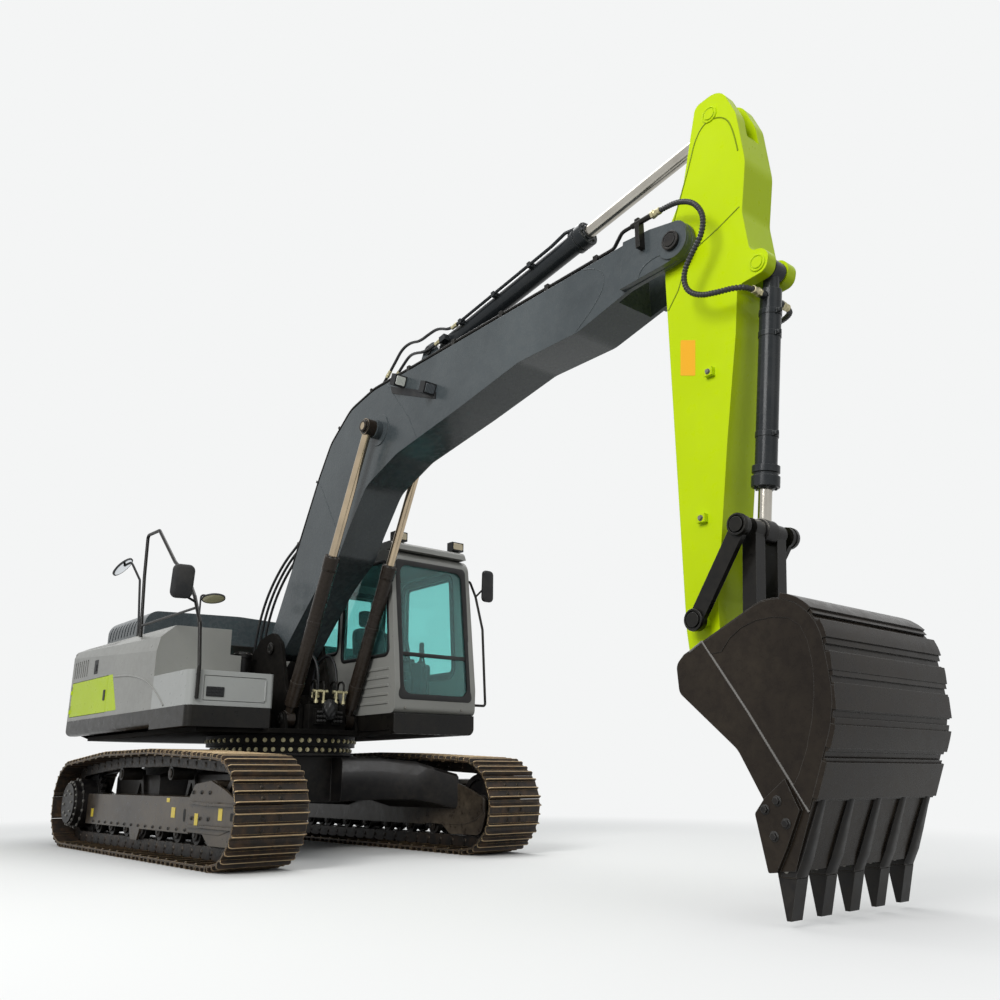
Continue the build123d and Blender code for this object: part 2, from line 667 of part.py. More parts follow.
# the hood's hinges: knuckles along its rear edge, the inner half on the hood and the outer on the house's top
hood_hinge = (bay_rear_x - knuckle_radius, hood_low_z + knuckle_radius + 4)
for side, carrier in ((-1, "right_house"), (1, "left_house")):
    inner_y = side * (bay_half_width + 130)
    split_y = inner_y + side * knuckle_length
    outer_y = split_y + side * knuckle_length
    hinge_half = pin(hood_hinge, knuckle_radius + 2, min(inner_y, split_y), max(inner_y, split_y))
    hinge_room = pin(hood_hinge, knuckle_radius + 3, min(split_y, outer_y) - running_gap,
                     max(split_y, outer_y) + running_gap)
    parts["engine_hood"] = parts["engine_hood"] + hinge_half - hinge_room
    low_y = min(split_y, outer_y) + (running_gap if side > 0 else 0)
    high_y = max(split_y, outer_y) - (running_gap if side < 0 else 0)
    knuckle = pin(hood_hinge, knuckle_radius + 2, low_y, high_y)
    knuckle += block(hood_hinge[0] - knuckle_radius - 2, hood_hinge[0], low_y, high_y, 2095, hood_hinge[1])
    parts[carrier] = parts[carrier] + knuckle

# cab: a hollow shell whose windows are cut through each wall
cab_rows = ((cab_front_x, cab_floor_z, 60), (cab_front_x + 10, 1500, 300), (1275, cab_roof_z, 150),
            (cab_rear_x + 60, cab_roof_z, 90), (cab_rear_x, 2000, 300), (cab_rear_x, cab_floor_z, 0))
cab = side_plate(cab_rows, cab_right_y, cab_left_y)
inner_rows = inset(cab_rows, [cab_wall] * 6)
cab -= side_plate(inner_rows, cab_right_y + cab_wall, cab_left_y - cab_wall)
right_window = ((1290, 1800, 60), (1200, 2740, 80), (420, 2740, 60), (420, 1800, 60))
rear_side_window = ((340, 1900, 60), (340, 2740, 60), (-250, 2740, 60), (-290, 1900, 60))
front_window_low = 1390.0
front_window_high = 2740.0
for window in (right_window, rear_side_window):
    cab -= side_plate(window, cab_right_y - 1, cab_right_y + cab_wall + 1)
front_window_y = (cab_right_y + 55, cab_left_y - 60)
rear_window_y = (cab_right_y + 120, cab_left_y - 120)
rear_window_z = (1900.0, 2650.0)
left_rear_window = ((20, 1900, 60), (20, 2740, 60), (-250, 2740, 60), (-290, 1900, 60))
cab -= block(1150, 1500, front_window_y[0], front_window_y[1], front_window_low, front_window_high)
cab -= block(cab_rear_x - 60, cab_rear_x + 130, rear_window_y[0], rear_window_y[1], rear_window_z[0],
             rear_window_z[1])
door_rows = ((1180, 1290, 60), (1230, 1650, 300), (1110, 2790, 80), (120, 2790, 60), (120, 1290, 60))
cab -= side_plate(door_rows, cab_left_y - cab_wall - 1, cab_left_y + 1)
cab -= side_plate(left_rear_window, cab_left_y - cab_wall - 1, cab_left_y + 1)
rib_x = (760.0, 1300.0)
for z in (1340.0, 1420.0, 1500.0, 1580.0, 1660.0):
    cab += block(rib_x[0], rib_x[1], cab_right_y - 9, cab_right_y + 1, z, z + 24)
parts["cab_shell"] = cab
skirt_front_x = cab_front_x - 4.0
cab_skirt_rows = ((cab_right_y + 5, deck_low_z + 2, 30), (cab_left_y - 8, deck_low_z + 2, 70),
                  (cab_left_y - 8, cab_floor_z - running_gap, 0), (cab_right_y + 5, cab_floor_z - running_gap, 0))
cab_skirt = long_section(cab_skirt_rows, cab_rear_x, skirt_front_x)
cab_skirt -= block(cab_rear_x - 1, deck_nose_x + running_gap, cab_right_y, deck_half_width + running_gap, deck_low_z,
                   deck_top_z + running_gap)
parts["cab_skirt"] = cab_skirt
roof_top_z = 2945.0
roof_rows = ((1275, cab_roof_z + running_gap, 0), (1240, roof_top_z, 60), (-300, roof_top_z, 60),
             (-340, cab_roof_z + running_gap, 0))
parts["cab_roof"] = side_plate(roof_rows, cab_right_y + 20, cab_left_y - 20)

# cab door: frame and its window opening
door_outer = inset(door_rows, [door_gap] * 5)
cab_door = side_plate(door_outer, cab_left_y - cab_wall + 5, cab_left_y)
door_window = ((1090, 1700, 60), (1020, 2700, 60), (200, 2700, 60), (200, 1700, 60))
cab_door -= side_plate(door_window, cab_left_y - cab_wall, cab_left_y + 1)
parts["cab_door"] = cab_door

hang("cab_door", "cab_shell", 120 + door_gap / 2, cab_left_y, (1420.0, 2500.0))

# glass panes: set in the wall's middle
glass = 6.0
pane_y = cab_right_y + 15
right_pane = side_plate(inset(right_window, [0.5] * 4), pane_y, pane_y + glass)
rear_side_pane = side_plate(inset(rear_side_window, [0.5] * 4), pane_y, pane_y + glass)
left_rear_pane = side_plate(inset(left_rear_window, [0.5] * 4), cab_left_y - 21, cab_left_y - 15)
pane_ring = side_plate(inset(cab_rows, [15.0] * 6), cab_right_y, cab_left_y)
pane_ring -= side_plate(inset(cab_rows, [15.0 + glass] * 6), cab_right_y - 1, cab_left_y + 1)
front_pane = pane_ring & block(1150, 1500, front_window_y[0] + 0.5, front_window_y[1] - 0.5,
                               front_window_low + 0.5, front_window_high - 0.5)
rear_pane = pane_ring & block(cab_rear_x - 60, cab_rear_x + 130, rear_window_y[0] + 0.5, rear_window_y[1] - 0.5,
                              rear_window_z[0] + 0.5, rear_window_z[1] - 0.5)
panes = [right_pane, rear_side_pane, left_rear_pane, front_pane, rear_pane]
parts["cab_glass"] = Compound(children=[pane.solid() for pane in panes])
door_pane_y = cab_left_y - 25
parts["cab_door_glass"] = side_plate(inset(door_window, [0.5] * 4), door_pane_y, door_pane_y + glass)

# seat and console inside the cab
cab_floor_top_z = cab_floor_z + cab_wall
seat_y = (660.0, 1120.0)
seat_rows = ((170, 1600, 40), (700, 1625, 60), (720, 1745, 55), (330, 1740, 40), (235, 2180, 60), (215, 2420, 50),
             (110, 2420, 50), (95, 1700, 60))
seat = side_plate(seat_rows, seat_y[0], seat_y[1])
seat += block(260, 580, seat_y[0] + 90, seat_y[1] - 90, cab_floor_top_z, 1625)
parts["seat"] = seat
console_rows = ((230, cab_floor_top_z, 0), (230, 1780, 50), (560, 1850, 60), (790, 1800, 50),
                (740, cab_floor_top_z, 0))
consoles = [side_plate(console_rows, y, y + 110) for y in (seat_y[0] - 140, seat_y[1] + 30)]
parts["consoles"] = Compound(children=[console.solid() for console in consoles])

# boom: box with a fork at its nose
boom_rows = (
    (boom_foot[0] - 60, 1800, 90), (boom_foot[0] + 130, 1850, 90), (480, 2030, 200), (930, 2440, 250),
    (1290, 2670, 150), (1450, 2900, 200), (1730, 3260, 300), (2220, 3450, 400), (3100, 3600, 400), (3870, 3750, 300),
    (4520, 3755, 300), (5030, 3880, 200), (5400, 3900, 100), (5600, 3930, 110), (5560, 4160, 110), (5100, 4245, 200),
    (1800, 4195, 500), (1400, 4110, 350), (1060, 3860, 300), (860, 3560, 300), (330, 2600, 400), (20, 2050, 120),
    (20, 1870, 90),
)
boom = side_plate(boom_rows, -boom_half_width, boom_half_width)
fork_inner = arm_half_width + 20
fork_depth = 560.0
cheek_rows = ((arm_pin[0] - 480, 3885, 0), (5400, 3903, 100), (5597, 3932, 108), (5558, 4158, 108), (5270, 4215, 150),
              (arm_pin[0] - 430, 4232, 0))
cheek_thickness = 45.0
for side in (-1, 1):
    low = boom_half_width - 1 if side > 0 else -boom_half_width - cheek_thickness
    boom += side_plate(cheek_rows, low, low + cheek_thickness + 1)
boom -= block(arm_pin[0] - fork_depth, arm_pin[0] + fork_depth, -fork_inner, fork_inner, 3500, 4500)
boss_end_y = boom_cylinder_y - boom_rod_eye_half - running_gap
for side in (-1, 1):
    boom += pin(boom_cylinder_eye, 90, min(side * 150, side * boss_end_y), max(side * 150, side * boss_end_y))
    boom += pin(boom_cylinder_eye, 150, min(side * 150, side * (boom_half_width + 8)),
                max(side * 150, side * (boom_half_width + 8)))
for side in (-1, 1):
    low = boom_half_width if side > 0 else -boom_half_width - 60
    boom += pin(arm_pin, 120, low, low + 60)
boom -= pin(boom_foot, pin_size + 1, -300, 300)
boom += pin(arm_pin, pin_size, -boom_half_width - 75, boom_half_width + 75)
base_ear = ((arm_cylinder_base[0] - 190, 4190, 0), (arm_cylinder_base[0] - 70, 4430, 70),
            (arm_cylinder_base[0] + 70, 4440, 70), (arm_cylinder_base[0] + 230, 4200, 0))
for side in (-1, 1):
    low = 70 if side > 0 else -100
    boom += side_plate(base_ear, low, low + 30)
boom += pin(arm_cylinder_base, pin_size - 5, -112, 112)
parts["boom"] = boom

# arm
arm_rows = (
    (5640, 5020, 60), (5850, 5040, 130), (5950, 4780, 200), (5985, 4400, 300), (5930, 4060, 200), (5960, 3760, 60),
    (6100, 3740, 75), (6060, 3590, 70), (5850, 3570, 60), (5810, 3260, 100), (5690, 2600, 300), (5540, 1660, 120),
    (5535, 1040, 90), (5345, 1040, 90), (5300, 1500, 100), (5300, 3900, 300), (5370, 4240, 150), (5480, 4410, 150),
)
arm = side_plate(arm_rows, -arm_half_width, arm_half_width)
slot_half = 64.0
arm -= block(5500, 6010, -slot_half, slot_half, 4640, 5100)
arm -= block(5880, 6200, -slot_half, slot_half, 3500, 3790)
arm -= pin(arm_pin, pin_size + 1, -300, 300)
arm += pin(bucket_cylinder_base, pin_size - 5, -arm_half_width, arm_half_width)
arm += pin(guide_pin, pin_size - 8, -arm_half_width - 112, arm_half_width + 112)
arm += pin(bucket_pin, pin_size - 5, -arm_half_width - 80, arm_half_width + 80)
# bolt pads on the right side: X, Z
for x, z in ((5609, 3069), (5480, 2157)):
    arm += block(x - 30, x + 30, -arm_half_width - 34, -arm_half_width + 1, z - 26, z + 26)
parts["arm"] = arm


def cylinder(base, eye, y, barrel_radius, rod_radius, rod_inside, gland_share, base_hole, eye_radius, eye_half):
    """A hydraulic cylinder as its barrel and its rod, along a line in an XZ plane."""
    length = math.dist(base, eye)
    gland = along(base, eye, length * gland_share)
    start = along(base, eye, eye_radius + neck_length)
    barrel = bar((start[0], y, start[1]), (gland[0], y, gland[1]), barrel_radius)
    barrel += bar((base[0], y, base[1]), (start[0], y, start[1]), eye_half * 0.95)
    collar = along(base, eye, length * gland_share - 110)
    barrel += bar((collar[0], y, collar[1]), (gland[0], y, gland[1]), barrel_radius + 6)
    barrel += pin(base, eye_radius, y - eye_half, y + eye_half)
    barrel -= pin(base, base_hole, y - eye_half - 1, y + eye_half + 1)
    bore_start = along(base, eye, eye_radius + neck_length + 25)
    barrel -= bar((bore_start[0], y, bore_start[1]), (gland[0], y, gland[1]), rod_radius + running_gap)
    rod_start = along(base, eye, length * gland_share - rod_inside)
    neck = along(base, eye, length - eye_radius * 0.8)
    rod = bar((rod_start[0], y, rod_start[1]), (neck[0], y, neck[1]), rod_radius)
    rod += pin(eye, eye_radius, y - eye_half, y + eye_half)
    return barrel, rod


boom_barrels = []
boom_rods = []
for y in (-boom_cylinder_y, boom_cylinder_y):
    barrel, rod = cylinder(boom_cylinder_base, boom_cylinder_eye, y, 66, 40, boom_rod_inside, 0.56, pin_size - 4,
                           75, boom_rod_eye_half)
    cap_y = (y + math.copysign(boom_rod_eye_half, y), y + math.copysign(boom_rod_eye_half + 24, y))
    rod += pin(boom_cylinder_eye, 52, min(cap_y), max(cap_y))
    boom_barrels.append(barrel)
    boom_rods.append(rod)
parts["boom_cylinder_barrels"] = Compound(children=boom_barrels)
parts["boom_cylinder_rods"] = Compound(children=boom_rods)
arm_barrel_radius = 82.0
arm_gland_share = 0.6
arm_barrel, arm_rod = cylinder(arm_cylinder_base, arm_cylinder_eye, 0, arm_barrel_radius, 50, arm_rod_inside,
                               arm_gland_share, pin_size - 4, 75, 54)
arm_axis_length = math.dist(arm_cylinder_base, arm_cylinder_eye)
arm_axis = Vector(arm_cylinder_eye[0] - arm_cylinder_base[0], 0, arm_cylinder_eye[1] - arm_cylinder_base[1])
arm_axis = arm_axis.normalized()
arm_axis_up = Vector(-arm_axis.Z, 0, arm_axis.X)
steel_y = -118.0


def beside_arm_barrel(reach, lift, y=steel_y):
    """A point beside the arm cylinder: its reach from the base pin and its lift over the axis."""
    place = Vector(arm_cylinder_base[0], y, arm_cylinder_base[1]) + arm_axis * reach + arm_axis_up * lift
    return (place.X, place.Y, place.Z)


# the rod side's steel pipe, with its two clamps, and the base side's port
steel_start = 440.0
steel_end = arm_axis_length * arm_gland_share - 60
steel_pipe = bent_tube([beside_arm_barrel(steel_start, 20), beside_arm_barrel(steel_end - 230, 20),
                        beside_arm_barrel(steel_end - 90, 62, -95), beside_arm_barrel(steel_end, 66, -55)],
                       pipe_radius, 45)
arm_barrel += steel_pipe
clamp_share = (0.04, 0.42, 0.8)
for share in clamp_share:
    reach = steel_start + (steel_end - 250 - steel_start) * share
    x, y, z = beside_arm_barrel(reach, 14, (steel_y - pipe_radius - 4 - arm_barrel_radius + 10) / 2)
    turned = Rot(0, -math.degrees(math.atan2(arm_axis.Z, arm_axis.X)), 0)
    arm_barrel += Pos(x, y, z) * turned * Box(34, -steel_y + pipe_radius + 4 - arm_barrel_radius + 10, 44)
base_port_reach = 240.0
base_port_half = 38.0
base_port_lift = -18.0
base_port_y = -128.0
x, y, z = beside_arm_barrel(base_port_reach, base_port_lift, base_port_y + 16)
arm_barrel += Pos(x, y, z) * turned * Box(base_port_half * 2, 64, 54)
parts["arm_cylinder_barrel"] = arm_barrel
parts["arm_cylinder_rod"] = arm_rod
bucket_barrel, bucket_rod = cylinder(bucket_cylinder_base, link_pin, 0, 66, 40, bucket_rod_inside, 0.84,
                                     pin_size - 4, 70, 52)
nose_hose_end = (5978.0, 3480.0)
bucket_port_y = 112.0
for side in (-1, 1):
    bucket_barrel += bar((nose_hose_end[0], side * 40, nose_hose_end[1]),
                         (nose_hose_end[0], side * bucket_port_y, nose_hose_end[1]), 27)
parts["bucket_cylinder_barrel"] = bucket_barrel
parts["bucket_cylinder_rod"] = bucket_rod


def link_plate(start, end, radius, y_low, y_high):
    """A flat link with round ends."""
    plate = pin(start, radius, y_low, y_high) + pin(end, radius, y_low, y_high)
    length = math.dist(start, end)
    nx = -(end[1] - start[1]) / length * radius * 0.8
    nz = (end[0] - start[0]) / length * radius * 0.8
    rows = ((start[0] + nx, start[1] + nz, 0), (end[0] + nx, end[1] + nz, 0),
            (end[0] - nx, end[1] - nz, 0), (start[0] - nx, start[1] - nz, 0))
    return plate + side_plate(rows, y_low, y_high)


guide_links = []
for side in (-1, 1):
    low = 212 if side > 0 else -250
    link = link_plate(guide_pin, link_pin, 62, low, low + 38)
    link -= pin(guide_pin, pin_size - 7, low - 1, low + 39)
    guide_links.append(link)
parts["guide_links"] = Compound(children=guide_links)
power_link = pin(bucket_link_pin, 58, -arm_half_width, arm_half_width)
for side in (-1, 1):
    low = 62 if side > 0 else -150
    power_link += link_plate(bucket_link_pin, link_pin, 58, low, low + 88)
parts["power_link"] = power_link

# bucket: side plates, curved wrapper, ears, lip and teeth
bucket_rows = ((5600, 1300, 20), (6395, 1655, 270), (6465, 980, 600), (6170, 250, 0), (6060, 240, 0), (6030, 560, 60),
               (5900, 800, 150), (5555, 1100, 60), (5545, 1250, 60))
bucket = side_plate(bucket_rows, -bucket_half_width, bucket_half_width)
hollow_low = ((5700, 1322, 60), (6383, 1625, 250), (6443, 980, 580), (6115, 170, 0), (5300, 170, 0), (5300, 1100, 0),
              (5640, 1180, 40))
bucket -= side_plate(hollow_low, -bucket_half_width + 22, bucket_half_width - 22)
ear_rows = ((bucket_pin[0] - 85, bucket_pin[1] - 60, 80), (bucket_pin[0] - 60, bucket_pin[1] + 110, 80),
            (bucket_link_pin[0] - 60, bucket_link_pin[1] + 80, 70),
            (bucket_link_pin[0] + 90, bucket_link_pin[1] + 60, 70),
            (5900, 1420, 0), (5600, 1200, 0), (bucket_pin[0] + 80, bucket_pin[1] - 90, 60))
for side in (-1, 1):
    low = arm_half_width + 10 if side > 0 else -arm_half_width - 55
    ear = side_plate(ear_rows, low, low + 45)
    ear -= pin(bucket_pin, pin_size - 4, low - 1, low + 46)
    bucket += ear
bucket += pin(bucket_link_pin, pin_size - 8, -arm_half_width - 70, -arm_half_width - running_gap)
bucket += pin(bucket_link_pin, pin_size - 8, arm_half_width + running_gap, arm_half_width + 70)
wear_plate = 13.0
band_z = ((1560, 1640), (1420, 1530), (1270, 1390), (1120, 1240), (960, 1090), (780, 930), (560, 750))
wear_ring = side_plate(inset(bucket_rows, [-wear_plate] * len(bucket_rows)), -bucket_half_width, bucket_half_width)
wear_ring -= side_plate(bucket_rows, -bucket_half_width - 1, bucket_half_width + 1)
for low_z, high_z in band_z:
    bucket += wear_ring & block(6230, 6600, -bucket_half_width, bucket_half_width, low_z, high_z)
cutter_rows = ((6170, 660, 0), (6050, 570, 20), (5990, 500, 20), (6040, 235, 10), (6085, 240, 0), (6150, 350, 10),
               (6235, 520, 0))
cutter_thickness = 25.0
for side in (-1, 1):
    low = bucket_half_width - 1 if side > 0 else -bucket_half_width - cutter_thickness
    bucket += side_plate(cutter_rows, low, low + cutter_thickness + 1)
tooth_y = (-508.0, -254.0, 0.0, 254.0, 508.0)
adapter_low_z = 215.0
adapter_rows = ((6245, 500, 20), (6190, 500, 0), (6060, 300, 0), (6068, adapter_low_z, 0), (6162, adapter_low_z, 0))
for y in tooth_y:
    bucket += side_plate(adapter_rows, y - 50, y + 50)
parts["bucket"] = bucket
tooth_top_z = adapter_low_z - running_gap
tooth_rows = ((6065, tooth_top_z, 0), (6165, tooth_top_z, 0), (6115, 30, 0), (6090, 30, 0))
teeth_solids = [side_plate(tooth_rows, y - 45, y + 45) for y in tooth_y]
parts["bucket_teeth"] = Compound(children=teeth_solids)

# pipes on the boom's top, from the foot over the bend to the arm cylinder and to the nose
top_right = boom_rows[15]
top_left = boom_rows[16]
top_slope = (top_right[1] - top_left[1]) / (top_right[0] - top_left[0])
lifted = inset(boom_rows, [-pipe_lift] * len(boom_rows))


def boom_top(x, lift):
    """Height of a place over the boom's straight top edge."""
    return top_left[1] + (x - top_left[0]) * top_slope + lift


foot_end_drop = 450.0
foot_run = math.hypot(lifted[19][0] - lifted[20][0], lifted[19][1] - lifted[20][1])
foot_way = ((lifted[19][0] - lifted[20][0]) / foot_run, (lifted[19][1] - lifted[20][1]) / foot_run)
pipe_foot = (lifted[19][0] - foot_way[0] * foot_end_drop, lifted[19][1] - foot_way[1] * foot_end_drop)
bend_corners = [(x, z) for x, z, radius in lifted[16:20]]
pipe_bend = 120.0
nose_fitting_x = (5150.0, 5325.0)
nose_fitting_z = 4281.0
pipe_end_run = 110.0
upper_pipe_end = (1890.0, 4330.0)
lower_pipe_end = (1960.0, 4318.0)
boom_pipes = []
for side in (-1, 1):
    far = [(nose_fitting_x[0] + 1, side * nose_port_y, nose_fitting_z), (5060, side * nose_port_y, nose_fitting_z),
           (4870, side * outer_pipe_y, boom_top(4870, pipe_lift))]
    near = [(x, side * outer_pipe_y, z) for x, z in bend_corners + [pipe_foot]]
    pipe = bent_tube(far + near, pipe_radius, pipe_bend)
    pipe += bar((nose_fitting_x[0], side * nose_port_y, nose_fitting_z),
                (nose_fitting_x[1], side * nose_port_y, nose_fitting_z), 20)
    inner = side * (boom_half_width + cheek_thickness + running_gap)
    outer = side * (nose_port_y + 18)
    pipe += block(nose_fitting_x[0] + 36, nose_fitting_x[0] + 72, min(inner, outer), max(inner, outer), 4090,
                  nose_fitting_z + 30)
    boom_pipes.append(pipe)
for y, end in ((upper_pipe_y, upper_pipe_end), (lower_pipe_y, lower_pipe_end)):
    turn_x = end[0] - pipe_end_run
    corners = [end, (turn_x, boom_top(turn_x, pipe_lift))] + bend_corners[1:] + [pipe_foot]
    boom_pipes.append(bent_tube([(x, y, z) for x, z in corners], pipe_radius, 60))
# clamps across the pipes
clamp_half = 20.0
clamp_inner_y = 130.0
clamp_outer_y = outer_pipe_y + pipe_radius + 8
clamp_height = pipe_lift + pipe_radius + 6
for x in (2340, 3012, 3640, 4182, 4700):
    low_z = boom_top(x - clamp_half, running_gap)
    high_z = boom_top(x + clamp_half, running_gap)
    rows = ((x - clamp_half, low_z, 0), (x + clamp_half, high_z, 0), (x + clamp_half, high_z + clamp_height, 0),
            (x - clamp_half, low_z + clamp_height, 0))
    clamp = side_plate(rows, clamp_inner_y, clamp_outer_y)
    boom_pipes[0] = boom_pipes[0] + mirror_left(clamp)
    boom_pipes[1] = boom_pipes[1] + clamp
parts["boom_pipes"] = Compound(children=[pipe.solid() for pipe in boom_pipes])

# hoses: each in a node of its own
foot_turn = (pipe_foot[0] - foot_way[0] * 207, pipe_foot[1] - foot_way[1] * 207)
foot_route = ((foot_hose_x, 1820), (-405, 2030), (-340, 2260), (-215, 2490), (-30, 2690), (170, 2840), (345, 2925),
              foot_turn)
foot_hose_places = (("foot_hose_a", -outer_pipe_y), ("foot_hose_b", upper_pipe_y), ("foot_hose_c", lower_pipe_y),
                    ("foot_hose_d", outer_pipe_y))
for name, y in foot_hose_places:
    start = (foot_hose_x, y, foot_block_top_z + running_gap)
    last = (pipe_foot[0] - foot_way[0] * running_gap, y, pipe_foot[1] - foot_way[1] * running_gap)
    parts[name] = hose([start] + [(x, y, z) for x, z in foot_route] + [last], hose_radius)



def off_pipe_end(end, y, reach):
    """A point beyond the end of a pipe that rises off the boom's top, on the pipe's own line."""
    way = Vector(pipe_end_run, 0, end[1] - boom_top(end[0] - pipe_end_run, pipe_lift)).normalized()
    return (end[0] + way.X * reach, y, end[1] + way.Z * reach)


upper_route = ((2130, upper_pipe_y, 4535), (2275, upper_pipe_y, 4552), (2425, steel_y, 4505), (2570, steel_y, 4524),
               (2710, steel_y, 4528))
parts["arm_hose_upper"] = hose([off_pipe_end(upper_pipe_end, upper_pipe_y, running_gap),
                                off_pipe_end(upper_pipe_end, upper_pipe_y, 165)] + list(upper_route)
                               + [beside_arm_barrel(steel_start - 100, 20),
                                  beside_arm_barrel(steel_start - running_gap, 20)], hose_radius)
lower_route = ((2225, -92, 4440), (2370, base_port_y, 4405), (2510, base_port_y, 4362))
port_reach = base_port_reach - base_port_half
parts["arm_hose_lower"] = hose([off_pipe_end(lower_pipe_end, lower_pipe_y, running_gap),
                                off_pipe_end(lower_pipe_end, lower_pipe_y, 145)] + list(lower_route)
                               + [beside_arm_barrel(port_reach - 95, base_port_lift, base_port_y),
                                  beside_arm_barrel(port_reach - running_gap, base_port_lift, base_port_y)],
                               hose_radius)

nose_route = ((5440, -nose_port_y, nose_fitting_z), (5570, -308, 4250), (5700, -322, 4170), (5766, -322, 4045),
              (5742, -322, 3915), (5650, -322, 3815), (5578, -322, 3710), (5590, -322, 3590), (5685, -322, 3510),
              (5810, -318, 3480),
              (5925, -280, 3480), (5978, -215, 3480))
nose_points = [(nose_fitting_x[1] + running_gap, -nose_port_y, nose_fitting_z)] + list(nose_route)
nose_points.append((nose_hose_end[0], -bucket_port_y - running_gap, nose_hose_end[1]))
parts["nose_hose_right"] = hose(nose_points, guarded_hose_radius)
parts["nose_hose_left"] = mirror_left(parts["nose_hose_right"])

valve_hose_places = (("valve_hose_right", valve_y[1]), ("valve_hose_left", valve_y[3]))
for name, y in valve_hose_places:
    route = ((valve_x, y, tee_top_z + running_gap), (valve_x, y, 1560), (valve_x - 30, y, 1710),
             (valve_x - 130, y, 1822), (valve_x - 270, y, 1830), (return_x + 65, y, 1750), (return_x, y, 1610),
             (return_x, y, return_z + running_gap))
    parts[name] = hose(list(route), hose_radius)

# handrails on the right house and at the cab's left corner
rail_radius = 17.0
rail_y = -1280.0
handrail_points = ((852, rail_y, 1330), (852, rail_y, 1610), (780, rail_y, 2000), (610, rail_y, 2260),
                   (400, rail_y, 2480), (50, rail_y, 2680), (-460, rail_y, 3100), (-780, rail_y, 3110),
                   (-760, rail_y, 2670), (-680, rail_y, 2036))
handrail = bent_tube(handrail_points, rail_radius, 40)
for z in (1350, 1540):
    handrail += bar((852, rail_y, z), (box_front_x + running_gap, rail_y, z), 14)
handrail += bar((-150, rail_y, 2150), (660, rail_y, 2150), 12)
handrail += bar((-150, rail_y, 2150), (-700, rail_y, 2150), 12)
# the right mirror's arm, then the cab's rail with the left mirror's arm
mirror_arm_z = (2240.0, 2560.0)
mirror_back_x = 830.0
handrail += bent_tube(((649, rail_y, 2202), (720, -1425, mirror_arm_z[0]),
                       (mirror_back_x - running_gap, -1425, mirror_arm_z[0])), 11, 20)
cab_rail_x = (1225.0, 1372.0)
cab_rail_y = cab_left_y + running_gap
cab_rail = bent_tube(((cab_rail_x[0], cab_rail_y, 2650), (cab_rail_x[0], cab_left_y + 75, 2650),
                      (cab_rail_x[0] + 40, cab_left_y + 120, 2490), (cab_rail_x[1] - 40, cab_left_y + 160, 2140),
                      (cab_rail_x[1], cab_left_y + 165, 1360), (cab_rail_x[1], cab_rail_y, 1360)), 13, 30)
cab_rail += bent_tube(((cab_rail_x[0] + 40, cab_left_y + 120, 2490), (1300, 1540, mirror_arm_z[1]),
                       (1372 - running_gap, 1540, mirror_arm_z[1])), 10, 15)
parts["handrails"] = Compound(children=[handrail.solid(), cab_rail.solid()])

# mirrors on the right rail, on the cab's rail and over the right house
mirror_rows = ((-1602, 2180, 55), (-1405, 2190, 55), (-1391, 2493, 55), (-1590, 2485, 55))
right_mirror = long_section(mirror_rows, mirror_back_x, mirror_back_x + 48)
left_mirror = long_section(((1470, 2425, 45), (1618, 2425, 45), (1622, 2760, 45), (1482, 2760, 45)), 1372, 1412)
house_mirror_y = -1312.0
house_mirror = bent_tube(((-1010, -1200, house_top(-1010, -1200) + running_gap), (-1010, -1200, 2200),
                          (-1120, -1200, 2700), (-1160, house_mirror_y, 2905), (-1320, house_mirror_y, 2900)), 12, 50)
house_mirror += Pos(-1380, house_mirror_y, 2880) * Rot(0, -16, 0) * Cylinder(220, 34)
round_mirror = bent_tube(((-300, -850, house_top(-300, -850) + running_gap), (-300, -850, 2466),
                          (-300, -725, 2460)), 9, 35)
round_mirror += Pos(-300, -715, 2443) * Rot(0, -14, 0) * Cylinder(118, 26)
all_mirrors = (right_mirror, left_mirror, house_mirror, round_mirror)
parts["mirrors"] = Compound(children=[mirror.solid() for mirror in all_mirrors])

# lamps: two on the cab's roof; two on a bracket on the boom's right side
roof_lamps = []
for y in (565, 1290):
    lamp = block(1115, 1205, y - 75, y + 75, roof_top_z + 23, roof_top_z + 115)
    lamp += block(1140, 1180, y - 25, y + 25, roof_top_z + running_gap, roof_top_z + 25)
    roof_lamps.append(lamp.solid())
parts["cab_lamps"] = Compound(children=roof_lamps)
lamp_side_y = -boom_half_width - running_gap
lamp_plate_rows = ((2100, 4140, 0), (2130, 4060, 0), (2800, 3790, 0), (2810, 3850, 0))
boom_lamps = side_plate(lamp_plate_rows, lamp_side_y - 8, lamp_side_y)
for x, z in ((2309, 4110), (2761, 3885)):
    boom_lamps += Pos(x, lamp_side_y - 62, z) * Rot(0, 22, 0) * Box(76, 120, 104)
parts["boom_lamps"] = boom_lamps

os.makedirs("parts", exist_ok=True)
for name, shape in parts.items():
    export_step(shape, f"parts/{name}.step")
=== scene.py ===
import math
import bmesh
import bpy
import numpy as np
from mathutils import Matrix


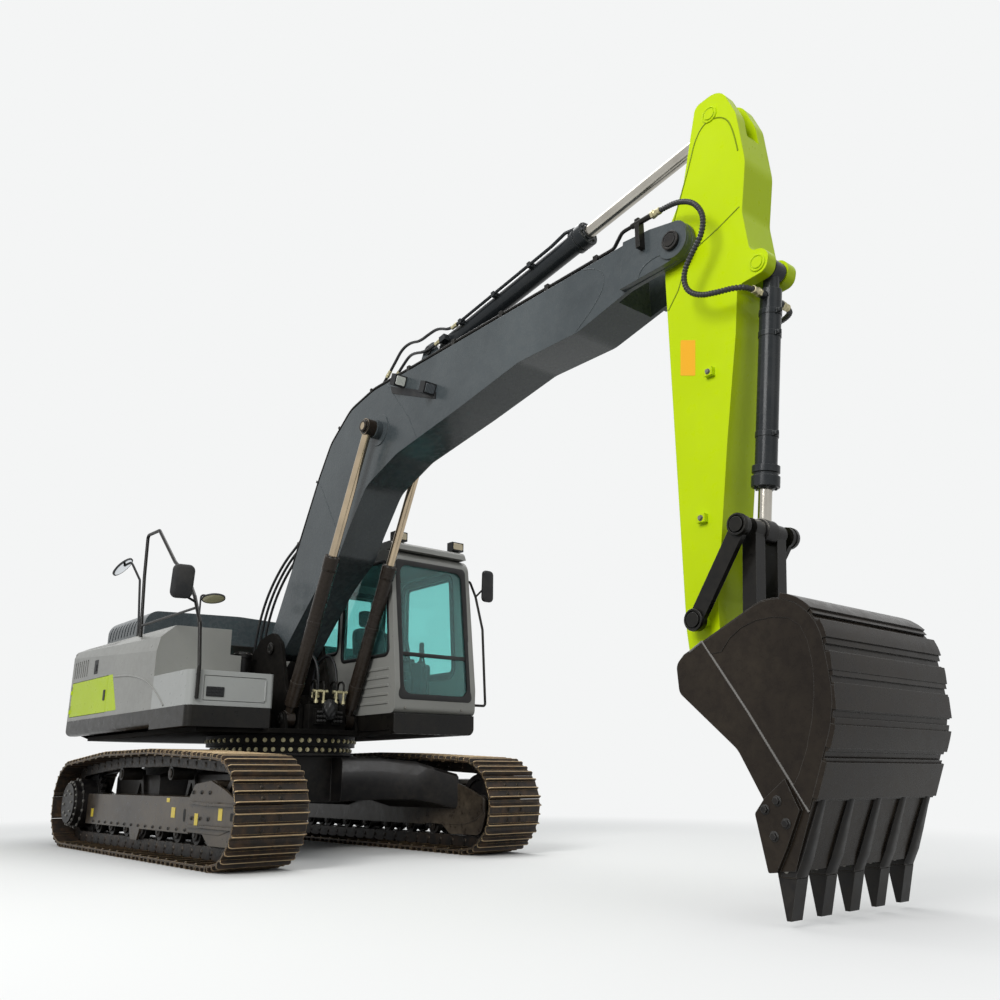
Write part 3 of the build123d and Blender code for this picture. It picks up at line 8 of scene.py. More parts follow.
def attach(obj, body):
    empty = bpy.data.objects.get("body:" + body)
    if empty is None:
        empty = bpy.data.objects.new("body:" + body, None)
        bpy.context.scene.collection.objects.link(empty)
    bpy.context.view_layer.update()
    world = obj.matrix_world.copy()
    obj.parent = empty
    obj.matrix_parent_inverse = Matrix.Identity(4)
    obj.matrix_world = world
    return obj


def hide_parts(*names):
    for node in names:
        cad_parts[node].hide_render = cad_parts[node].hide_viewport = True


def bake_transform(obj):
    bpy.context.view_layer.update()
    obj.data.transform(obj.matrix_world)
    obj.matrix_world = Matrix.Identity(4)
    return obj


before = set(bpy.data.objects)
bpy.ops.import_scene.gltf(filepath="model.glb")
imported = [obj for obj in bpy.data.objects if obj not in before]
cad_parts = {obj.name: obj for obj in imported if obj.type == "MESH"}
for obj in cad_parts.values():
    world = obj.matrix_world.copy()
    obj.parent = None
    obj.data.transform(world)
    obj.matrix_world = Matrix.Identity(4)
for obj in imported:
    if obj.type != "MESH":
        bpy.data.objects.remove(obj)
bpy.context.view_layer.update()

# crawler excavator: enamelled house, boom, arm and bucket on two steel tracks.
# Metres, X forward, Y to the machine's left, Z up
scene = bpy.context.scene
print("frame loaded")

# camera: low, in front of the machine's right corner, looking up at the boom
cameraSetup = {
    "place": (8.77336, -4.57057, 0.67421),
    "yaw": 40.439,              # degrees from straight back, towards the machine's left
    "pitch": 16.643,            # degrees upwards
    "roll": -0.2,
    "focalPixels": 925.25,
    "imagePixels": 1000.0,
    "sensorMm": 36.0,
}


def makeCamera(setup):
    yaw = math.radians(setup["yaw"])
    pitch = math.radians(setup["pitch"])
    roll = math.radians(setup["roll"])
    look = np.array([-math.cos(yaw) * math.cos(pitch), math.sin(yaw) * math.cos(pitch), math.sin(pitch)])
    right = np.array([math.sin(yaw), math.cos(yaw), 0.0])
    up = np.cross(right, look)
    turnedRight = math.cos(roll) * right + math.sin(roll) * up
    turnedUp = -math.sin(roll) * right + math.cos(roll) * up
    data = bpy.data.cameras.new("camera")
    data.sensor_width = setup["sensorMm"]
    data.lens = setup["focalPixels"] / setup["imagePixels"] * setup["sensorMm"]
    data.clip_end = 200.0
    camera = bpy.data.objects.new("camera", data)
    scene.collection.objects.link(camera)
    matrix = np.eye(4)
    matrix[:3, 0] = turnedRight
    matrix[:3, 1] = turnedUp
    matrix[:3, 2] = -look
    matrix[:3, 3] = setup["place"]
    camera.matrix_world = Matrix(matrix.tolist())
    scene.camera = camera


makeCamera(cameraSetup)
scene.view_settings.view_transform = "Standard"
print("camera placed")


# sRGB hex to linear light, with alpha
def toLinear(hexColour):
    channels = np.array([int(hexColour[i:i + 2], 16) for i in (1, 3, 5)]) / 255.0
    linear = np.where(channels <= 0.04045, channels / 12.92, ((channels + 0.055) / 1.055) ** 2.4)
    return (*linear.tolist(), 1.0)


# one node with its settings; an input takes a value, or a link from a socket
def addNode(tree, kind, settings=None, inputs=None):
    node = tree.nodes.new("ShaderNode" + kind)
    for key, value in (settings or {}).items():
        setattr(node, key, value)
    for key, value in (inputs or {}).items():
        if isinstance(value, bpy.types.NodeSocket):
            tree.links.new(value, node.inputs[key])
        else:
            node.inputs[key].default_value = value
    return node


def newMaterial(name):
    material = bpy.data.materials.new(name)
    material.use_nodes = True
    material.node_tree.nodes.clear()
    return material, material.node_tree


def closeMaterial(tree, inputs):
    surface = addNode(tree, "BsdfPrincipled", None, inputs)
    addNode(tree, "OutputMaterial", None, {"Surface": surface.outputs[0]})
    return surface


# enamel sprayed on steel: an even coat with a clear, slightly wavy gloss that softens at rounded edges,
# thinner and paler on the edges, with dust that gathers low down and in broad patches
enamelSetup = {
    "orangePeelMm": 9.0,        # real skin is 2 to 3 mm, drawn coarser so that it shows
    "peelDepth": 0.02,
    "patchMm": 700.0,
    "grimeMm": 60.0,
    "edgeRadiusMm": 5.0,
}


def enamel(name, colour, rough=0.28, coat=0.3, specular=0.4, dust=0.12, dustColour="#8a8378", edge=0.25,
           edgeColour="#a9a9a6", shade=0.12):
    material, tree = newMaterial(name)
    place = addNode(tree, "TexCoord").outputs["Object"]
    patches = addNode(tree, "TexNoise", None, {"Vector": place, "Scale": 1000.0 / enamelSetup["patchMm"],
                                               "Detail": 4.0, "Roughness": 0.6}).outputs["Fac"]
    grime = addNode(tree, "TexNoise", None, {"Vector": place, "Scale": 1000.0 / enamelSetup["grimeMm"],
                                             "Detail": 6.0, "Roughness": 0.65}).outputs["Fac"]
    peel = addNode(tree, "TexNoise", None, {"Vector": place, "Scale": 1000.0 / enamelSetup["orangePeelMm"],
                                            "Detail": 1.0}).outputs["Fac"]
    cloudy = addNode(tree, "MapRange", None, {"Value": patches, "From Min": 0.3, "From Max": 0.7,
                                              "To Min": 1.0 - shade, "To Max": 1.0 + shade}).outputs[0]
    clouded = addNode(tree, "VectorMath", {"operation": "SCALE"}, {0: toLinear(colour)[:3],
                                                                   "Scale": cloudy}).outputs[0]
    together = addNode(tree, "Math", {"operation": "MULTIPLY"}, {0: patches, 1: grime}).outputs[0]
    dusty = addNode(tree, "MapRange", None, {"Value": together, "From Min": 0.16, "From Max": 0.42,
                                             "To Min": 0.0, "To Max": dust}).outputs[0]
    painted = addNode(tree, "Mix", {"data_type": "RGBA"}, {"Factor": dusty, "A": clouded,
                                                           "B": toLinear(dustColour)}).outputs["Result"]
    soft = addNode(tree, "Bevel", {"samples": 4}, {"Radius": enamelSetup["edgeRadiusMm"] / 1000.0}).outputs[0]
    flat = addNode(tree, "NewGeometry").outputs["Normal"]
    bend = addNode(tree, "VectorMath", {"operation": "DOT_PRODUCT"}, {0: soft, 1: flat}).outputs["Value"]
    worn = addNode(tree, "MapRange", None, {"Value": bend, "From Min": 0.985, "From Max": 0.8,
                                            "To Min": 0.0, "To Max": edge}).outputs[0]
    finished = addNode(tree, "Mix", {"data_type": "RGBA"}, {"Factor": worn, "A": painted,
                                                            "B": toLinear(edgeColour)}).outputs["Result"]
    sheen = addNode(tree, "MapRange", None, {"Value": grime, "From Min": 0.3, "From Max": 0.7,
                                             "To Min": rough - 0.06, "To Max": rough + 0.12}).outputs[0]
    skin = addNode(tree, "Bump", None, {"Strength": 0.25, "Distance": enamelSetup["peelDepth"] / 100.0,
                                        "Height": peel, "Normal": soft}).outputs[0]
    closeMaterial(tree, {"Base Color": finished, "Roughness": sheen, "Normal": skin,
                         "Coat Weight": coat, "Coat Roughness": 0.08, "IOR": 1.5,
                         "Specular IOR Level": specular})
    return material


# chromium plated on a ground steel rod: a bright mirror drawn out along fine polishing lines
def chromePlate(name, colour="#b3afa6"):
    material, tree = newMaterial(name)
    place = addNode(tree, "TexCoord").outputs["Object"]
    smear = addNode(tree, "TexNoise", None, {"Vector": place, "Scale": 30.0, "Detail": 5.0}).outputs["Fac"]
    film = addNode(tree, "TexNoise", None, {"Vector": place, "Scale": 5.0, "Detail": 4.0}).outputs["Fac"]
    oily = addNode(tree, "MapRange", None, {"Value": film, "From Min": 0.4, "From Max": 0.7,
                                            "To Min": 0.0, "To Max": 0.35}).outputs[0]
    tone = addNode(tree, "Mix", {"data_type": "RGBA"}, {"Factor": oily, "A": toLinear(colour),
                                                        "B": toLinear("#7d7468")}).outputs["Result"]
    sheen = addNode(tree, "MapRange", None, {"Value": smear, "To Min": 0.12, "To Max": 0.26}).outputs[0]
    closeMaterial(tree, {"Base Color": tone, "Metallic": 1.0, "Roughness": sheen})
    return material


# hot-rolled track steel: dark scale and dry earth in the hollows, bright bronze wear on its edges
trackSteelSetup = {"scaleMm": 25.0, "earthMm": 90.0}


def trackSteel(name, dark="#2b2520", rust="#5f4732", wear="#c9ae80", edge=0.8):
    material, tree = newMaterial(name)
    place = addNode(tree, "TexCoord").outputs["Object"]
    scale = addNode(tree, "TexNoise", None, {"Vector": place, "Scale": 1000.0 / trackSteelSetup["scaleMm"],
                                             "Detail": 8.0, "Roughness": 0.7}).outputs["Fac"]
    earth = addNode(tree, "TexNoise", None, {"Vector": place, "Scale": 1000.0 / trackSteelSetup["earthMm"],
                                             "Detail": 6.0, "Roughness": 0.6}).outputs["Fac"]
    rusty = addNode(tree, "MapRange", None, {"Value": earth, "From Min": 0.45, "From Max": 0.72,
                                             "To Min": 0.0, "To Max": 0.6}).outputs[0]
    body = addNode(tree, "Mix", {"data_type": "RGBA"}, {"Factor": rusty, "A": toLinear(dark),
                                                        "B": toLinear(rust)}).outputs["Result"]
    soft = addNode(tree, "Bevel", {"samples": 4}, {"Radius": 0.006}).outputs[0]
    flat = addNode(tree, "NewGeometry").outputs["Normal"]
    bend = addNode(tree, "VectorMath", {"operation": "DOT_PRODUCT"}, {0: soft, 1: flat}).outputs["Value"]
    worn = addNode(tree, "MapRange", None, {"Value": bend, "From Min": 0.98, "From Max": 0.75,
                                            "To Min": 0.0, "To Max": edge}).outputs[0]
    finished = addNode(tree, "Mix", {"data_type": "RGBA"}, {"Factor": worn, "A": body,
                                                            "B": toLinear(wear)}).outputs["Result"]
    metal = addNode(tree, "MapRange", None, {"Value": worn, "To Min": 0.2, "To Max": 0.9}).outputs[0]
    sheen = addNode(tree, "MapRange", None, {"Value": scale, "From Min": 0.3, "From Max": 0.7,
                                             "To Min": 0.32, "To Max": 0.62}).outputs[0]
    skin = addNode(tree, "Bump", None, {"Strength": 0.5, "Distance": 0.002, "Height": scale,
                                        "Normal": soft}).outputs[0]
    closeMaterial(tree, {"Base Color": finished, "Metallic": metal, "Roughness": sheen, "Normal": skin,
                         "Specular IOR Level": 0.35})
    return material


# zinc plated steel, passivated yellow: a cream, slightly mottled shine on hose ends and tees
def zincPlate(name, colour="#bdb591", stain="#6d6448"):
    material, tree = newMaterial(name)
    place = addNode(tree, "TexCoord").outputs["Object"]
    cloud = addNode(tree, "TexNoise", None, {"Vector": place, "Scale": 60.0, "Detail": 6.0}).outputs["Fac"]
    stained = addNode(tree, "MapRange", None, {"Value": cloud, "From Min": 0.5, "From Max": 0.75,
                                               "To Min": 0.0, "To Max": 0.5}).outputs[0]
    tone = addNode(tree, "Mix", {"data_type": "RGBA"}, {"Factor": stained, "A": toLinear(colour),
                                                        "B": toLinear(stain)}).outputs["Result"]
    sheen = addNode(tree, "MapRange", None, {"Value": cloud, "To Min": 0.3, "To Max": 0.55}).outputs[0]
    closeMaterial(tree, {"Base Color": tone, "Metallic": 0.75, "Roughness": sheen})
    return material


# laminated safety glass with a green tint: clear and bright, its colour just deep enough to read as tinted
def tintedGlass(name, colour="#b2e9e6"):
    material, tree = newMaterial(name)
    place = addNode(tree, "TexCoord").outputs["Object"]
    film = addNode(tree, "TexNoise", None, {"Vector": place, "Scale": 4.0, "Detail": 5.0}).outputs["Fac"]
    sheen = addNode(tree, "MapRange", None, {"Value": film, "To Min": 0.0, "To Max": 0.05}).outputs[0]
    closeMaterial(tree, {"Base Color": toLinear(colour), "Transmission Weight": 0.94, "Roughness": sheen,
                         "IOR": 1.1, "Specular IOR Level": 0.5, "Coat Weight": 0.6, "Coat Roughness": 0.02})
    return material


# lamp lens: pressed clear plastic whose inside is fluted, so its surface shows fine upright ribs
def lampLens(name, colour, glow):
    material, tree = newMaterial(name)
    place = addNode(tree, "TexCoord").outputs["Object"]
    ribs = addNode(tree, "TexWave", {"bands_direction": "Y"}, {"Vector": place, "Scale": 22.0}).outputs["Fac"]
    tone = addNode(tree, "Mix", {"data_type": "RGBA"}, {"Factor": ribs, "A": toLinear(colour),
                                                        "B": toLinear(glow)}).outputs["Result"]
    skin = addNode(tree, "Bump", None, {"Strength": 0.6, "Distance": 0.001, "Height": ribs}).outputs[0]
    closeMaterial(tree, {"Base Color": tone, "Roughness": 0.12, "Normal": skin, "Coat Weight": 0.8,
                         "Coat Roughness": 0.03})
    return material


# silvered mirror glass: a clean reflection with a faint haze of dust
def silvered(name, colour="#d6dade", rough=0.04):
    material, tree = newMaterial(name)
    place = addNode(tree, "TexCoord").outputs["Object"]
    haze = addNode(tree, "TexNoise", None, {"Vector": place, "Scale": 25.0, "Detail": 5.0}).outputs["Fac"]
    sheen = addNode(tree, "MapRange", None, {"Value": haze, "To Min": rough,
                                             "To Max": rough + 0.1}).outputs[0]
    closeMaterial(tree, {"Base Color": toLinear(colour), "Metallic": 1.0, "Roughness": sheen})
    return material


# plastic or rubber moulded with a fine grain: matt, faintly mottled, a little grey where it is handled
def moulded(name, colour, rough=0.55, grainMm=4.0, coat=0.0, specular=0.35, fade=0.14):
    material, tree = newMaterial(name)
    place = addNode(tree, "TexCoord").outputs["Object"]
    grain = addNode(tree, "TexNoise", None, {"Vector": place, "Scale": 1000.0 / grainMm,
                                             "Detail": 3.0}).outputs["Fac"]
    cloud = addNode(tree, "TexNoise", None, {"Vector": place, "Scale": 6.0, "Detail": 5.0}).outputs["Fac"]
    faded = addNode(tree, "MapRange", None, {"Value": cloud, "From Min": 0.45, "From Max": 0.75,
                                             "To Min": 0.0, "To Max": fade}).outputs[0]
    tone = addNode(tree, "Mix", {"data_type": "RGBA"}, {"Factor": faded, "A": toLinear(colour),
                                                        "B": toLinear("#77736c")}).outputs["Result"]
    sheen = addNode(tree, "MapRange", None, {"Value": cloud, "To Min": rough - 0.08,
                                             "To Max": rough + 0.1}).outputs[0]
    skin = addNode(tree, "Bump", None, {"Strength": 0.2, "Distance": 0.0006, "Height": grain}).outputs[0]
    closeMaterial(tree, {"Base Color": tone, "Roughness": sheen, "Normal": skin, "Coat Weight": coat,
                         "Specular IOR Level": specular})
    return material


# woven seat cloth: crossed yarns, two waves at right angles, with a soft sheen at grazing angles
def wovenCloth(name, warp="#2b2e33", weft="#17191c", yarnMm=5.0):
    material, tree = newMaterial(name)
    place = addNode(tree, "TexCoord").outputs["Object"]
    across = addNode(tree, "TexWave", {"bands_direction": "Y"}, {"Vector": place,
                                                                "Scale": 314.0 / yarnMm / 2}).outputs["Fac"]
    upward = addNode(tree, "TexWave", {"bands_direction": "Z"}, {"Vector": place,
                                                                "Scale": 314.0 / yarnMm / 2}).outputs["Fac"]
    crossed = addNode(tree, "Math", {"operation": "MULTIPLY"}, {0: across, 1: upward}).outputs[0]
    tone = addNode(tree, "Mix", {"data_type": "RGBA"}, {"Factor": crossed, "A": toLinear(weft),
                                                        "B": toLinear(warp)}).outputs["Result"]
    skin = addNode(tree, "Bump", None, {"Strength": 0.5, "Distance": 0.001, "Height": crossed}).outputs[0]
    closeMaterial(tree, {"Base Color": tone, "Roughness": 0.9, "Normal": skin, "Sheen Weight": 0.3})
    return material


limeEnamel = enamel("enamel on steel plate, lime", "#c0da02", rough=0.3, coat=0.03, specular=0.12, dust=0.03,
                    edge=0.12, edgeColour="#dcf05c", shade=0.04)
slateEnamel = enamel("enamel on steel plate, slate", "#42494c", rough=0.24, coat=0.12, specular=0.25,
                     dust=0.06, edge=0.2, edgeColour="#8f9496", shade=0.2)
greyEnamel = enamel("enamel on sheet steel, mid grey", "#8a8a85", rough=0.32, coat=0.15, specular=0.3,
                    dust=0.06, edgeColour="#c4c4c0", shade=0.06)
blackEnamel = enamel("enamel on steel plate, black", "#131211", rough=0.3, coat=0.08, specular=0.16, dust=0.1,
                     dustColour="#57503f", edge=0.18)
bucketEnamel = enamel("enamel on wear plate, brown black", "#221c17", rough=0.26, coat=0.04, specular=0.12,
                      dust=0.1, dustColour="#6d6250")
frameEnamel = enamel("enamel on steel frame, grey brown", "#312a23", rough=0.3, coat=0.1, specular=0.25,
                     dust=0.3, dustColour="#8b7d68", shade=0.2)
castEnamel = enamel("enamel on cast steel, black", "#121112", rough=0.42, coat=0.05, specular=0.2, dust=0.2,
                    dustColour="#5a5348")
barrelEnamel = enamel("enamel on steel tube, dark brown", "#2a231d", rough=0.24, coat=0.05, specular=0.16,
                      dust=0.03)
blueBlackEnamel = enamel("enamel on steel tube, blue black", "#25292c", rough=0.22, coat=0.05, specular=0.16,
                         dust=0.05)
ringEnamel = enamel("enamel on turned steel ring, black", "#0b0b0c", rough=0.4, coat=0.0, specular=0.1,
                    dust=0.04)
# the house's underside: a black a little darker than the enamel, painted shade under the house, and matt so
# that the floor shows less in it
shadedUndersideBlack = enamel("bitumen underseal on steel, black", "#0d0c0b", rough=0.75, coat=0.0, specular=0.06,
                   dust=0.05, edge=0.05)
paleEnamel = enamel("enamel on sheet steel, light grey", "#a3a5a2", rough=0.3, coat=0.15, specular=0.3,
                    dust=0.06, edgeColour="#cfcfcb", shade=0.06)
weldBlack = enamel("weld bead under thin enamel, grey", "#6d6b68", rough=0.4, coat=0.0, specular=0.3,
                   dust=0.2)
# darker lime for the arm's weld beads: painted shadow lines along the plates' edges
paintedShadowLime = enamel("weld bead under enamel, shaded lime", "#7d9204", rough=0.4, coat=0.0, specular=0.1,
                  dust=0.02)
tagEnamel = enamel("baked enamel on blank tags, yellow", "#d9bf2e", rough=0.3, coat=0.2, specular=0.3,
                   dust=0.1)
chrome = chromePlate("chromium plate on ground steel")
warmChrome = chromePlate("chromium plate with an oil film, warm", "#b9a78d")
shoeSteel = trackSteel("rolled track steel, worn")
tipSteel = trackSteel("track steel ground bright on grouser tips", dark="#b59a72", rust="#8c6a45",
                      wear="#e0cfae", edge=0.8)
linkSteel = trackSteel("forged link steel, oily", dark="#131110", rust="#3d2f22", wear="#7c6f5c", edge=0.5)
boltSteel = zincPlate("zinc plate on bolts, grey", "#7d7b76", "#35322d")
fittingSteel = zincPlate("zinc plate on fittings, cream")
glass = tintedGlass("laminated glass, green tint")
seatCloth = wovenCloth("woven seat cloth, charcoal")
blackPlastic = moulded("moulded plastic, black", "#141517")
consolePlastic = moulded("moulded plastic, dark grey", "#2c2e30", rough=0.5)
sealRubber = moulded("extruded rubber seal, black", "#0c0c0d", rough=0.45, fade=0.06)
hoseRubber = moulded("wrapped hose rubber, black", "#121315", rough=0.38, grainMm=3.0, specular=0.45,
                     fade=0.08)
clearLens = lampLens("pressed lens, clear", "#c9cdc8", "#eef0e4")
smokedLens = lampLens("pressed lens, smoked", "#33363a", "#6f7478")
amberLens = lampLens("pressed lens, pale amber", "#c9b489", "#e6d8b4")
mirrorGlass = silvered("silvered mirror glass")
# flat cream on the round mirror's face: a painted reflection
paintedReflectionCream = moulded("moulded acrylic, cream", "#e2ddb4", rough=0.25, coat=0.6, fade=0.05)
screenGlass = moulded("display glass, dark", "#10181c", rough=0.12, coat=0.8, fade=0.0)
amberVinyl = moulded("pressed vinyl tag, blank, amber", "#f3b016", rough=0.35, fade=0.02)

finishOf = {
    "side_frames": frameEnamel, "final_drives": castEnamel, "idlers": castEnamel, "rollers": castEnamel,
    "centre_frame": castEnamel, "slew_ring_lower": ringEnamel, "slew_ring_upper": ringEnamel,
    "upper_frame": shadedUndersideBlack, "counterweight": blackEnamel, "right_house": greyEnamel,
    "left_house": greyEnamel, "skirts": blackEnamel, "engine_block": castEnamel, "bay_wall": blackEnamel,
    "engine_hood": slateEnamel, "toolbox": paleEnamel, "toolbox_door": paleEnamel, "pump_door": limeEnamel,
    "radiator_door": limeEnamel, "cab_shell": greyEnamel, "cab_skirt": blackEnamel, "cab_roof": greyEnamel,
    "cab_door": greyEnamel, "cab_glass": glass, "cab_door_glass": glass, "seat": seatCloth,
    "consoles": consolePlastic, "boom": slateEnamel, "boom_pipes": blackEnamel, "boom_lamps": blackPlastic,
    "arm": limeEnamel, "boom_cylinder_barrels": barrelEnamel, "boom_cylinder_rods": warmChrome,
    "arm_cylinder_barrel": blueBlackEnamel, "arm_cylinder_rod": chrome,
    "bucket_cylinder_barrel": blueBlackEnamel, "bucket_cylinder_rod": chrome,
    "guide_links": blackEnamel, "power_link": blackEnamel, "bucket": bucketEnamel, "bucket_teeth": castEnamel,
    "handrails": blackEnamel, "mirrors": blackPlastic, "cab_lamps": blackPlastic,
    "track_left": shoeSteel, "track_right": shoeSteel,
}
for name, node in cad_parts.items():
    for slot in node.material_slots:
        slot.material = finishOf.get(name, hoseRubber)      # what has no finish of its own is a hose
print("materials ready")


def unit(vector):
    vector = np.asarray(vector, float)
    return vector / np.linalg.norm(vector, axis=-1, keepdims=True)


# two directions square to an axis and to each other: cross products with Z, or with X where it is near Z
def acrossAxes(axis):
    axis = unit(axis)
    lead = np.array([1.0, 0.0, 0.0]) if abs(axis[2]) > 0.9 else np.array([0.0, 0.0, 1.0])
    first = unit(np.cross(lead, axis))
    return first, np.cross(axis, first)


# a closed skin over rings of points (ring, place on the ring, xyz): each four neighbours on the grid are
# a face. Open rings get a flat face over each end; wrapped ones join the last ring to the first
def skinned(rings, wrapped=False):
    count, around = rings.shape[:2]
    row = np.arange(count if wrapped else count - 1)[:, None]
    place = np.arange(around)[None, :]
    nextRow = (row + 1) % count
    nextPlace = (place + 1) % around
    corners = np.broadcast_arrays(row * around + place, row * around + nextPlace,
                                  nextRow * around + nextPlace, nextRow * around + place)
    faces = np.stack(corners, axis=-1).reshape(-1, 4).tolist()
    if not wrapped:
        faces.append(list(range(around)))
        faces.append(list(range((count - 1) * around, count * around)))
    return rings.reshape(-1, 3), faces


# several shapes as one: their points one after another, their faces counted on
def together(shapes):
    starts = np.cumsum([0] + [len(points) for points, _ in shapes])
    points = np.concatenate([points for points, _ in shapes])
    faces = [[corner + int(start) for corner in face]
             for (_, own), start in zip(shapes, starts) for face in own]
    return points, faces


# one shape at many places: a point is place + axes times point, for every place at once
def stamped(shape, places, axes):
    points, faces = shape
    places = np.asarray(places, float)
    moved = places[:, None, :] + np.einsum("pi,nji->npj", points, np.asarray(axes, float))
    starts = np.arange(len(places)) * len(points)
    counted = [[corner + int(start) for corner in face] for start in starts for face in faces]
    return moved.reshape(-1, 3), counted


# columns of three axes for a shape whose Z looks along a direction
def facing(directions):
    return np.array([np.column_stack([*acrossAxes(direction), unit(direction)]) for direction in directions])


# rows of (along, out) turned round an axis: a point is centre + along * axis + out * (cos, sin) square to it.
# A hollow shape joins its last row to its first, as a band does
def turned(rows, centre, axis, sides=32, hollow=False):
    rows = np.asarray(rows, float)
    first, second = acrossAxes(axis)
    angle = np.linspace(0.0, 2 * np.pi, sides, endpoint=False)
    circle = np.cos(angle)[:, None] * first + np.sin(angle)[:, None] * second
    rings = np.asarray(centre) + rows[:, 0, None, None] * unit(axis) + rows[:, 1, None, None] * circle
    return skinned(rings, wrapped=hollow)


# an outline or path whose corners are arcs: a corner's circle touches both runs at a distance of
# radius / tan(half the corner's angle) from the corner
def roundedCorners(points, radii, closed=True, steps=5):
    points = np.asarray(points, float)
    radii = np.array(np.broadcast_to(np.asarray(radii, float), len(points)))
    before = unit(np.roll(points, 1, axis=0) - points)
    after = unit(np.roll(points, -1, axis=0) - points)
    if not closed:
        radii[[0, -1]] = 0.0
    half = 0.5 * np.arccos(np.clip((before * after).sum(1), -0.999999, 0.999999))
    bend = (np.pi - 2 * half)[:, None, None]
    middle = before + after
    middle = middle / np.maximum(np.linalg.norm(middle, axis=1, keepdims=True), 1e-9)
    centre = points + middle * (radii / np.sin(half))[:, None]
    start = points + before * (radii / np.tan(half))[:, None] - centre
    end = points + after * (radii / np.tan(half))[:, None] - centre
    share = np.linspace(0.0, 1.0, steps + 1)[None, :, None]
    arcs = (np.sin((1 - share) * bend) * start[:, None] + np.sin(share * bend) * end[:, None]) / np.sin(bend)
    line = (centre[:, None] + arcs).reshape(-1, points.shape[1])
    following = np.roll(line, -1, axis=0) if closed else np.concatenate([line[1:], line[-1:] + 1.0])
    return line[np.linalg.norm(following - line, axis=1) > 1e-6]


# an outline drawn in: each corner moves along the sum of its two outward normals, over 1 + their dot product
def drawnIn(outline, distance):
    before = unit(outline - np.roll(outline, 1, axis=0))
    after = unit(np.roll(outline, -1, axis=0) - outline)
    normalBefore = np.column_stack([before[:, 1], -before[:, 0]])
    normalAfter = np.column_stack([after[:, 1], -after[:, 0]])
    lean = 1.0 + (normalBefore * normalAfter).sum(1, keepdims=True)
    area = (outline[:, 0] * np.roll(outline[:, 1], -1) - outline[:, 1] * np.roll(outline[:, 0], -1)).sum()
    return outline - np.sign(area) * (normalBefore + normalAfter) / lean * distance


# flat (u, v) points and a depth as xyz: the depth runs along the named axis
def onPlane(flat, depth, axis):
    depth = np.broadcast_to(depth, flat.shape[:-1])
    order = {"x": (depth, flat[..., 0], flat[..., 1]), "y": (flat[..., 0], depth, flat[..., 1]),
             "z": (flat[..., 0], flat[..., 1], depth)}[axis]
    return np.stack(order, axis=-1)


# an outline carried from one depth to another, drawn in by the chamfer at both ends
def slab(outline, low, high, axis, chamfer=0.002):
    inner = drawnIn(outline, chamfer)
    rings = [onPlane(inner, low, axis), onPlane(outline, low + chamfer, axis),
             onPlane(outline, high - chamfer, axis), onPlane(inner, high, axis)]
    return skinned(np.array(rings))


# outline of a box with rounded corners, from its middle and half sizes
def roundedBox(middle, half, radius, steps=4):
    signs = np.array([(-1, -1), (1, -1), (1, 1), (-1, 1)])
    return roundedCorners(np.asarray(middle) + signs * np.asarray(half), radius, steps=steps)


# a strip round an opening: rows of (distance drawn in, depth) are a closed profile carried round the outline
def openingStrip(outline, profile, toSpace):
    rings = [toSpace(drawnIn(outline, distance), depth) for distance, depth in profile]
    return skinned(np.array(rings), wrapped=True)


# a profile carried along a path: at each point it stands square to the path, its first axis across
# the path and the given direction. The profile may change along the path
def carried(path, profile, sideways):
    path = np.asarray(path, float)
    ahead = unit(np.gradient(path, axis=0))
    across = unit(np.cross(ahead, np.asarray(sideways, float)))
    upward = np.cross(across, ahead)
    profile = np.broadcast_to(profile, (len(path),) + np.shape(profile)[-2:])
    sideStep = profile[..., 0, None] * across[:, None]
    upStep = profile[..., 1, None] * upward[:, None]
    return skinned(path[:, None] + sideStep + upStep)


def circleProfile(radius, sides=12):
    angle = np.linspace(0.0, 2 * np.pi, sides, endpoint=False)
    return np.asarray(radius)[..., None, None] * np.column_stack([np.cos(angle), np.sin(angle)])


# a path with points a step apart: its corners' coordinates read at equal distances along it
def evenly(path, step):
    path = np.asarray(path, float)
    along = np.concatenate([[0.0], np.cumsum(np.linalg.norm(np.diff(path, axis=0), axis=1))])
    places = np.linspace(0.0, along[-1], max(int(along[-1] / step), 2) + 1)
    return np.column_stack([np.interp(places, along, path[:, k]) for k in range(path.shape[1])])


# weld bead: a low ridge along a path, its radius rippled by a wave of the given pitch
def weldBead(path, radius, pitch, sideways):
    path = evenly(path, pitch / 4)
    ripple = radius * (1.0 + 0.14 * np.sin(np.arange(len(path)) * np.pi / 2))
    return carried(path, circleProfile(ripple, 8), sideways)


# six-sided bolt head on Z: a hexagon, its rim drawn in at the top, on a round washer
def boltHead(across, height):
    radius = across / math.sqrt(3.0)
    angle = np.arange(6) * np.pi / 3
    hexagon = np.column_stack([np.cos(angle), np.sin(angle)])
    rings = [onPlane(hexagon * radius * share, height * level, "z")
             for share, level in ((1.0, -0.3), (1.0, 0.8), (0.84, 1.0))]
    washer = turned([(-0.3 * height, radius * 1.25), (0.18 * height, radius * 1.25),
                     (0.2 * height, radius * 0.9)], (0, 0, 0), (0, 0, 1), 14)
    return together([skinned(np.array(rings)), washer])


def boltsAt(places, directions, across=0.024, height=0.013):
    directions = np.broadcast_to(directions, (len(places), 3))
    return stamped(boltHead(across, height), places, facing(directions))


